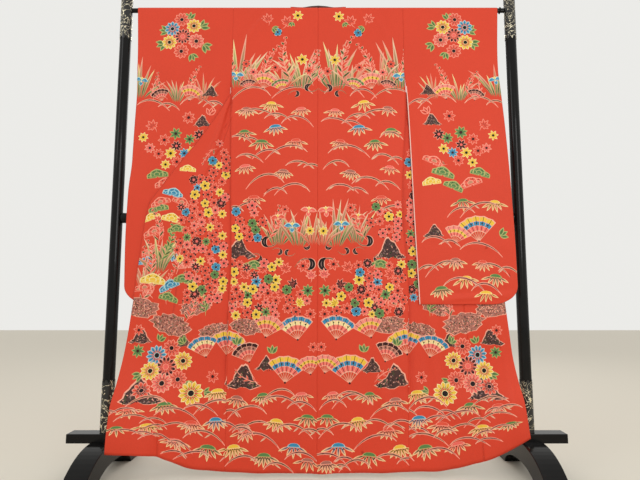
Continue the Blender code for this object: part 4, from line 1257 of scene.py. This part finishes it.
def edge_columns(near, far, count):
    """Columns across a panel, with extra ones in the last few millimetres beside its seams."""
    inset = min(SEAM_REACH / 2, (far - near) / count / 3)
    inside = [near + (far - near) * i / count for i in range(1, count)]
    return [near, near + inset, near + 2 * inset] + inside + [far - 2 * inset, far - inset, far]


# Heights in the plan of the body's rows: below the rod, and beyond it where the cloth lies over the rod
ROWS = spaced(ROD_HEIGHT, HEM_LEVEL, ROW_STEP)
OVER_ROWS = [ROD_HEIGHT + FOLD_RADIUS * (LAST_TURN * i / WRAP_STEPS) for i in range(WRAP_STEPS, 0, -1)]


def back_panel(side, ink, material):
    """One half of the back, from the top of the rod to the hem."""
    across = edge_columns(SEAM_EASE, BODY_HALF - SEAM_EASE, PANEL_COLUMNS)
    rows = [[(u, t) for u in across] for t in OVER_ROWS]
    for level in ROWS:
        lap = SEAM_LAP * smooth((ARMPIT - level) / SEAM_LAP_RUN)
        edge = read(SIDE_EDGE[side], level) - SEAM_EASE + lap
        rows.append([(u, level) for u in edge_columns(SEAM_EASE, edge, PANEL_COLUMNS)])

    def place(u, t):
        if t > ROD_HEIGHT:
            return round_rod(side, u, -seam_dip(u), math.pi - (t - ROD_HEIGHT) / FOLD_RADIUS)
        dip = seam_dip(u) + seam_dip(read(SIDE_EDGE[side], t) - u) * SIDE_DIP
        return placed(side, u, back_y(t) + dip, t)

    return sheet("back", side, rows, place, ink, material)


class FrontPlan:
    """Plan of a front: across is counted inwards from the free edge, so it meets x on the outer part."""

    def __init__(self, side):
        self.side = side
        self.rows = [FrontRow(side, level) for level in ROWS]

    def all_rows(self):
        """Each row with its height in the plan, from the top of the rod to the hem."""
        return [(self.rows[0], t) for t in OVER_ROWS] + [(row, row.level) for row in self.rows]

    def place(self, u, t):
        """A plan point's place in the room, between the two rows that it lies between."""
        if t > ROD_HEIGHT:
            across, depth = self.rows[0].from_edge(u)
            return round_rod(self.side, across, depth - front_y(ROD_HEIGHT), (t - ROD_HEIGHT) / FOLD_RADIUS)
        last = len(self.rows) - 1
        share = (ROD_HEIGHT - t) / (ROD_HEIGHT - HEM_LEVEL) * last
        i = min(last - 1, max(0, int(share)))
        share -= i
        upper, lower = self.rows[i].from_edge(u), self.rows[i + 1].from_edge(u)
        across = upper[0] + (lower[0] - upper[0]) * share
        depth = upper[1] + (lower[1] - upper[1]) * share
        return placed(self.side, across, depth, t)


def okumi_seam(side, level):
    """Distance from the middle of the seam between a front and its overlap panel."""
    return read(FRONT_EDGE[side], level) - read(WHOLE_WIDTH, level) + read(FRONT_WIDTH, level)


def front_panel(side, plan, ink, material):
    """A front, from the side edge to the overlap panel's seam."""
    rows = []
    for row, t in plan.all_rows():
        width = row.length - row.okumi - SEAM_EASE
        lengths = row.breaks(TUCK_STEPS)
        tail = lengths[-1]
        lengths += [tail + (width - tail) * (i + 1) / OUTWARD_STEPS for i in range(OUTWARD_STEPS)]
        rows.append([(along + row.reach - row.length, t) for along in lengths])

    def place(u, t):
        x, y, z = plan.place(u, t)
        if t < ARMHOLE_BOTTOM:
            y += seam_dip(okumi_seam(side, t) - u) * OKUMI_DIP
        return (x, y, z)

    return sheet("front", side, rows, place, ink, material)


def okumi(side, plan, ink, material):
    """The overlap panel on a front's free edge."""
    rows = []
    for row, t in plan.all_rows():
        if t < ARMHOLE_BOTTOM:
            near = row.reach - row.okumi + SEAM_EASE
            rows.append([(u, t) for u in edge_columns(near, row.reach, OKUMI_COLUMNS)])

    def place(u, t):
        x, y, z = plan.place(u, t)
        return (x, y + seam_dip(u - okumi_seam(side, t)) * OKUMI_DIP, z)

    return sheet("okumi", side, rows, place, ink, material)


def sleeve_outer(side, level):
    """The sleeve's outer edge, rounded at its lower corner."""
    rise = held((level - SLEEVE_BOTTOM) / CORNER_HEIGHT)
    return read(SLEEVE_EDGES[side], level) - CORNER_WIDTH * (1 - quarter_round(rise))


def sleeve_inner(side, level):
    """The sleeve's inner edge."""
    return read(SLEEVE_EDGES[side], level, 2)


def sleeve_depths(side, level):
    """y of a sleeve's back and front layers at a level."""
    apart = smooth((ARMHOLE_BOTTOM - level) / CUFF_CLOSE)
    back = back_y(level) + apart * SLEEVE_BEHIND[side]
    front = front_y(level) + apart * (back_y(level) + SLEEVE_BEHIND[side] + SLEEVE_PITCH - front_y(level))
    return back, front


def far_layer(shapes):
    """The shapes of a sleeve's print again, for the layer beyond the rod, without the smallest flecks."""

    def over(point):
        """A point of the plan, mirrored at the top of the rod."""
        return None if point is None else complex(point.real, SLEEVE_TOTAL - point.imag)

    return [
        ([over(point) for point in points[::-1]], first, second, over(base), over(tip))
        for points, first, second, base, tip in shapes
        if len(points) > FLECK_CORNERS
    ]


def sleeve_ink(side, seed):
    """The print of both layers of a sleeve, and the pale edging of its inner edge."""
    shown = [row for row in SLEEVE_PRINT if side == "right" or row[2] > PLAIN_BELOW or row[1] < PLAIN_FROM]
    ink = printed([shown], seed)
    levels = spaced(EDGING_TOP, SLEEVE_BOTTOM, EDGING_STEP)
    turned_back = [complex(sleeve_inner(side, level), level) for level in levels]
    ink.add([p - EDGING_WIDTH for p in turned_back] + [p + EDGING_WIDTH for p in turned_back[::-1]], "edging")
    ink.shapes += far_layer(ink.shapes)
    return ink


def sleeve(side, ink, material):
    """A sleeve as one sheet: up the back layer, over the rod and down the front layer."""
    turns = [math.pi / 2 * i / CORNER_STEPS for i in range(1, CORNER_STEPS)]
    levels = [SLEEVE_BOTTOM, SLEEVE_BOTTOM + LEAST_ROW]
    levels += [SLEEVE_BOTTOM + CORNER_HEIGHT * (1 - math.cos(turn)) for turn in turns]
    levels += spaced(SLEEVE_BOTTOM + CORNER_HEIGHT, ROD_HEIGHT, -ROW_STEP)
    heights = levels + [ROD_HEIGHT + OVER_ROD * i / OVER_ROD_STEPS for i in range(1, OVER_ROD_STEPS)]
    heights += [SLEEVE_TOTAL - level for level in levels[::-1]]

    def level_of(t):
        """Height in the room of a height in the plan, for both layers."""
        return t if t < ROD_HEIGHT else SLEEVE_TOTAL - t

    rows = []
    for t in heights:
        level = min(ROD_HEIGHT, level_of(t))
        near = sleeve_inner(side, level) + 2 * SEAM_EASE
        rows.append([(u, t) for u in edge_columns(near, sleeve_outer(side, level), PANEL_COLUMNS)])

    def place(u, t):
        if ROD_HEIGHT < t < ROD_HEIGHT + OVER_ROD:
            return round_rod(side, u, -seam_dip(u - BODY_HALF), math.pi - (t - ROD_HEIGHT) / FOLD_RADIUS)
        level = level_of(t)
        depths = sleeve_depths(side, level)
        middle = sum(depths) / 2
        open_cuff = smooth((level - ARMHOLE_BOTTOM + CUFF_RISE) / CUFF_RISE)
        rim = max(open_cuff, held((sleeve_outer(side, level) - u) / SLEEVE_SOFT_EDGE))
        base = held((level - SLEEVE_BOTTOM) / SLEEVE_SOFT_EDGE)
        away = max(LEAST_HALF, (depths[1] - middle) * quarter_round(min(rim, base)))
        if level > SLEEVE_SEAM_END:
            away -= seam_dip(u - sleeve_inner(side, level)) * SLEEVE_DIP
        x = SIGN[side] * u
        push = creased(SLEEVE_CREASES[side], x, level) * smooth((ROD_HEIGHT - level) / SLEEVE_CREASE_FADE)
        push += creased(CREASES, x, level)
        behind = t > ROD_HEIGHT + OVER_ROD / 2
        return (x, middle + (away if behind else -away) - push, level)

    return sheet("sleeve", side, rows, place, ink, material)


def band_row(side, seam, lean, behind, roll=TURN_RADIUS):
    """One section of the collar band: a roll over its seam, then flat behind the front."""
    out, up = SIGN[side] * math.sin(math.radians(lean)), math.cos(math.radians(lean))
    radius = (behind - seam[1]) / 2
    points = []
    for i in range(ROLL_STEPS + 1):
        turn = math.pi * i / ROLL_STEPS
        away = roll * math.sin(turn)
        points.append((seam[0] + out * away, seam[1] + radius * (1 - math.cos(turn)), seam[2] + up * away))
    for i in range(BAND_STEPS):
        length = (COLLAR_WIDTH - math.pi * TURN_RADIUS) * (i + 1) / BAND_STEPS
        z = seam[2] - up * length
        sway = front_y(z) - front_y(seam[2]) if seam[2] < ROD_HEIGHT else 0.0
        points.append((seam[0] - out * length, behind + sway, z))
    return points


def collar_rows(side):
    """Sections of the collar from behind the neck, over the rod and down the front."""
    rows = []
    for across in NECK_PLACES:
        lean, behind, height, roll = (read(NECK_BAND, across, column) for column in (1, 2, 3, 4))
        rows.append(band_row(side, (SIGN[side] * across, SEAM_GAP, height), lean, behind, roll))
    top = FrontRow(side, ROD_HEIGHT)
    across, depth = top.at(top.length)
    for angle in WRAP_ANGLES:
        lean, lift = read(WRAP_BAND, angle), read(WRAP_BAND, angle, 2)
        seam = round_rod(side, across + COLLAR_GAP, depth - front_y(ROD_HEIGHT) + lift, math.radians(angle))
        rows.append(band_row(side, seam, lean, depth + LAYER_PITCH))
    for level in spaced(ROD_HEIGHT, COLLAR_END, BAND_STEP):
        row = FrontRow(side, level)
        across, depth = row.at(row.length)
        seam = placed(side, across + COLLAR_GAP, depth, level)
        rows.append(band_row(side, seam, read(BAND_LEAN, level), depth + LAYER_PITCH))
    return rows


def collar(material):
    """The collar band in one piece, plain but for a painted shade: a dark arch at its top behind the neck,
    where the collar lies in shadow.
    """
    rows = collar_rows("left")[:0:-1] + collar_rows("right")
    points = [point for row in rows for point in row]
    faces = grid_faces(len(rows), len(rows[0]))
    tints = []
    for face in faces:
        x, _, z = (sum(points[i][axis] for i in face) / 4 for axis in range(3))
        # Painted shade: faces at the collar's top behind the neck take the dark umber tint in place of the
        # ground
        tints += [LINEAR["umber" if abs(x) < NECK_SHADE_HALF and z > NECK_SHADE_FROM else "ground"]] * 4
    made = cloth_object("collar_silk", points, faces, tints, material)
    wall = made.modifiers.new("Wall", "SOLIDIFY")
    wall.thickness = CLOTH
    wall.offset = 0.0
    return made


class Nodes:
    """Short calls for building a material. An input's name has underscores in place of spaces."""

    def __init__(self, name, **inputs):
        self.material = bpy.data.materials.new(name)
        self.material.use_nodes = True
        self.tree = self.material.node_tree
        self.shader = self.tree.nodes["Principled BSDF"]
        self.feed(self.shader, **inputs)

    def feed(self, node, **inputs):
        """Gives a node's inputs values, or links them to the outputs of other nodes."""
        for key, value in inputs.items():
            target = node.inputs[key.replace("_", " ")]
            if isinstance(value, bpy.types.NodeSocket):
                self.tree.links.new(value, target)
            else:
                target.default_value = value
        return node

    def noise(self, scale, detail, distortion=0.0):
        """A noise through the object's own space."""
        space = self.tree.nodes.new("ShaderNodeTexCoord").outputs["Object"]
        node = self.tree.nodes.new("ShaderNodeTexNoise")
        self.feed(node, Vector=space, Scale=scale, Detail=detail, Distortion=distortion)
        return node.outputs["Fac"]

    def ranged(self, source, low, high):
        """A source from 0 to 1, brought to a range."""
        node = self.feed(self.tree.nodes.new("ShaderNodeMapRange"), Value=source, To_Min=low, To_Max=high)
        return node.outputs["Result"]

    def scaled(self, colour, amount):
        """A colour made lighter or darker by an amount."""
        node = self.tree.nodes.new("ShaderNodeVectorMath")
        node.operation = "SCALE"
        return self.feed(node, Vector=colour, Scale=amount).outputs["Vector"]

    def ramp(self, source, stops):
        """Colours along a source, between two or more stops of place and colour."""
        node = self.feed(self.tree.nodes.new("ShaderNodeValToRGB"), Fac=source)
        elements = node.color_ramp.elements
        for i, (position, colour) in enumerate(stops):
            element = elements[i] if i < len(elements) else elements.new(position)
            element.position = position
            element.color = colour
        return node.outputs["Color"]

    def bump(self, source, strength, distance):
        """Raises the shader's surface by a source."""
        node = self.tree.nodes.new("ShaderNodeBump")
        self.feed(node, Height=source, Strength=strength, Distance=distance)
        self.feed(self.shader, Normal=node.outputs["Normal"])


def silk_material():
    """Crepe silk: the print's tints, faintly clouded and flecked, with a fine weave."""
    nodes = Nodes(
        "Printed crepe silk", Roughness=0.58, Sheen_Weight=0.08, Sheen_Roughness=0.4,
        Sheen_Tint=(1.0, 0.86, 0.80, 1.0), Specular_IOR_Level=0.24,
    )
    ink = nodes.tree.nodes.new("ShaderNodeAttribute")
    ink.attribute_name, ink.attribute_type = "Print", "GEOMETRY"
    cloud = nodes.ranged(nodes.noise(5.0, 4.0), 0.93, 1.06)
    fleck = nodes.ranged(nodes.noise(420.0, 2.0), 0.90, 1.10)
    tinted = nodes.scaled(nodes.scaled(ink.outputs["Color"], cloud), fleck)
    nodes.feed(nodes.shader, Base_Color=tinted)
    nodes.bump(nodes.noise(900.0, 1.0), 0.10, 0.0004)
    return nodes.material


def lacquer_material():
    """Black gloss lacquer with a trace of dust."""
    nodes = Nodes("Black lacquer gloss", Specular_IOR_Level=0.13, Coat_Weight=0.10, Coat_Roughness=0.03)
    dust = nodes.noise(14.0, 6.0)
    tone = nodes.ramp(dust, ((0.0, (0.0030, 0.0028, 0.0028, 1.0)), (1.0, (0.0090, 0.0084, 0.0080, 1.0))))
    nodes.feed(nodes.shader, Base_Color=tone, Roughness=nodes.ranged(dust, 0.10, 0.20))
    return nodes.material


def gilt_material():
    """Black ground with gilt scrolls, which follow narrow bands of a swirled noise."""
    nodes = Nodes("Engraved gilt fitting", Roughness=0.28)
    swirl = nodes.noise(27.0, 1.0, 2.6)
    black, white = (0.0, 0.0, 0.0, 1.0), (1.0, 1.0, 1.0, 1.0)
    ground, gold = (0.012, 0.011, 0.010, 1.0), (0.92, 0.83, 0.60, 1.0)
    scroll = nodes.ramp(swirl, zip(SCROLL_EDGES, (black, white, white, black)))
    tone = nodes.ramp(swirl, zip(SCROLL_EDGES, (ground, gold, gold, ground)))
    nodes.feed(nodes.shader, Base_Color=tone, Metallic=scroll)
    nodes.bump(scroll, 0.4, 0.0006)
    return nodes.material


silk = silk_material()
lacquer = lacquer_material()
gilt = gilt_material()
scene = bpy.context.scene

cloths = []
for number, side in enumerate(SIGN):
    body = printed([BODY_PRINT], BODY_SEED + number)
    drifting(body, BODY_DRIFT_SEED + number, BODY_DRIFT, BODY_PRINT)
    cloths.append((back_panel(side, body, silk), f"back_{side}"))
    # Below the drift a front carries the body's print too
    low_print = [row for row in BODY_PRINT if row[2] < DRIFT[-1][2]]
    arm = printed([low_print, FRONT_PRINT], BODY_SEED + number)
    drifting(arm, FRONT_DRIFT_SEED + number, DRIFT)
    boxes = [box_of(shape[0]) for shape in arm.shapes]
    arm.shapes = [
        shape for shape, (_, right, _, top) in zip(arm.shapes, boxes)
        if right > ARM_PRINT_FROM and top < ARM_PRINT_TOP
    ]
    plan = FrontPlan(side)
    cloths.append((front_panel(side, plan, arm, silk), f"front_{side}"))
    cloths.append((okumi(side, plan, arm, silk), f"okumi_{side}"))
    cloths.append((sleeve(side, sleeve_ink(side, SLEEVE_SEED + number), silk), f"sleeve_{side}"))
cloths.append((collar(silk), "collar"))

# Each piece of cloth hangs from the root body in place of the CAD part that it stands for, which is hidden
for made, node in cloths:
    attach(made, "root")
    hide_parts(node)

for name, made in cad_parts.items():
    finish = gilt if "fitting" in name or "cap" in name else lacquer
    for place in made.material_slots:
        place.material = finish

bpy.ops.mesh.primitive_plane_add(size=FLOOR_SIZE, location=(0.0, 0.0, 0.0))
floor = bpy.context.object
floor.name = "floor"
floor.data.materials.append(Nodes("Pale floor", Base_Color=(0.66, 0.61, 0.52, 1.0), Roughness=0.7).material)

world = bpy.data.worlds.new("Studio")
scene.world = world
world.use_nodes = True
sky = world.node_tree.nodes["Background"].inputs
sky["Color"].default_value = (0.95, 0.945, 0.915, 1.0)
sky["Strength"].default_value = 0.88

# name, place, what it is aimed at, width and height, power in watts
LAMPS = (
    ("key", (-2.3, -1.9, 2.3), (0.1, 0.0, 0.85), (1.0, 1.2), 10.0),
    ("fill", (1.2, -2.6, 1.5), (0.05, 0.0, 0.95), (1.2, 1.2), 20.0),
    ("far", (0.4, 2.6, 2.6), (0.0, 0.0, 0.9), (2.4, 1.6), 26.0),
)
for name, place, aim, size, power in LAMPS:
    light = bpy.data.lights.new(name, "AREA")
    light.shape = "RECTANGLE"
    light.size, light.size_y = size
    light.energy = power
    lamp = bpy.data.objects.new(name, light)
    lamp.location = place
    lamp.rotation_euler = (Vector(aim) - Vector(place)).to_track_quat("-Z", "Y").to_euler()
    scene.collection.objects.link(lamp)

view = bpy.data.cameras.new("camera")
view.lens = LENS
view.sensor_width = SENSOR_WIDTH
view.shift_x = VIEW_SHIFT
camera = bpy.data.objects.new("camera", view)
camera.location = CAMERA_PLACE
camera.rotation_euler = (math.pi / 2 + CAMERA_TILT, 0.0, 0.0)
scene.collection.objects.link(camera)
scene.camera = camera
scene.view_settings.view_transform = "Standard"
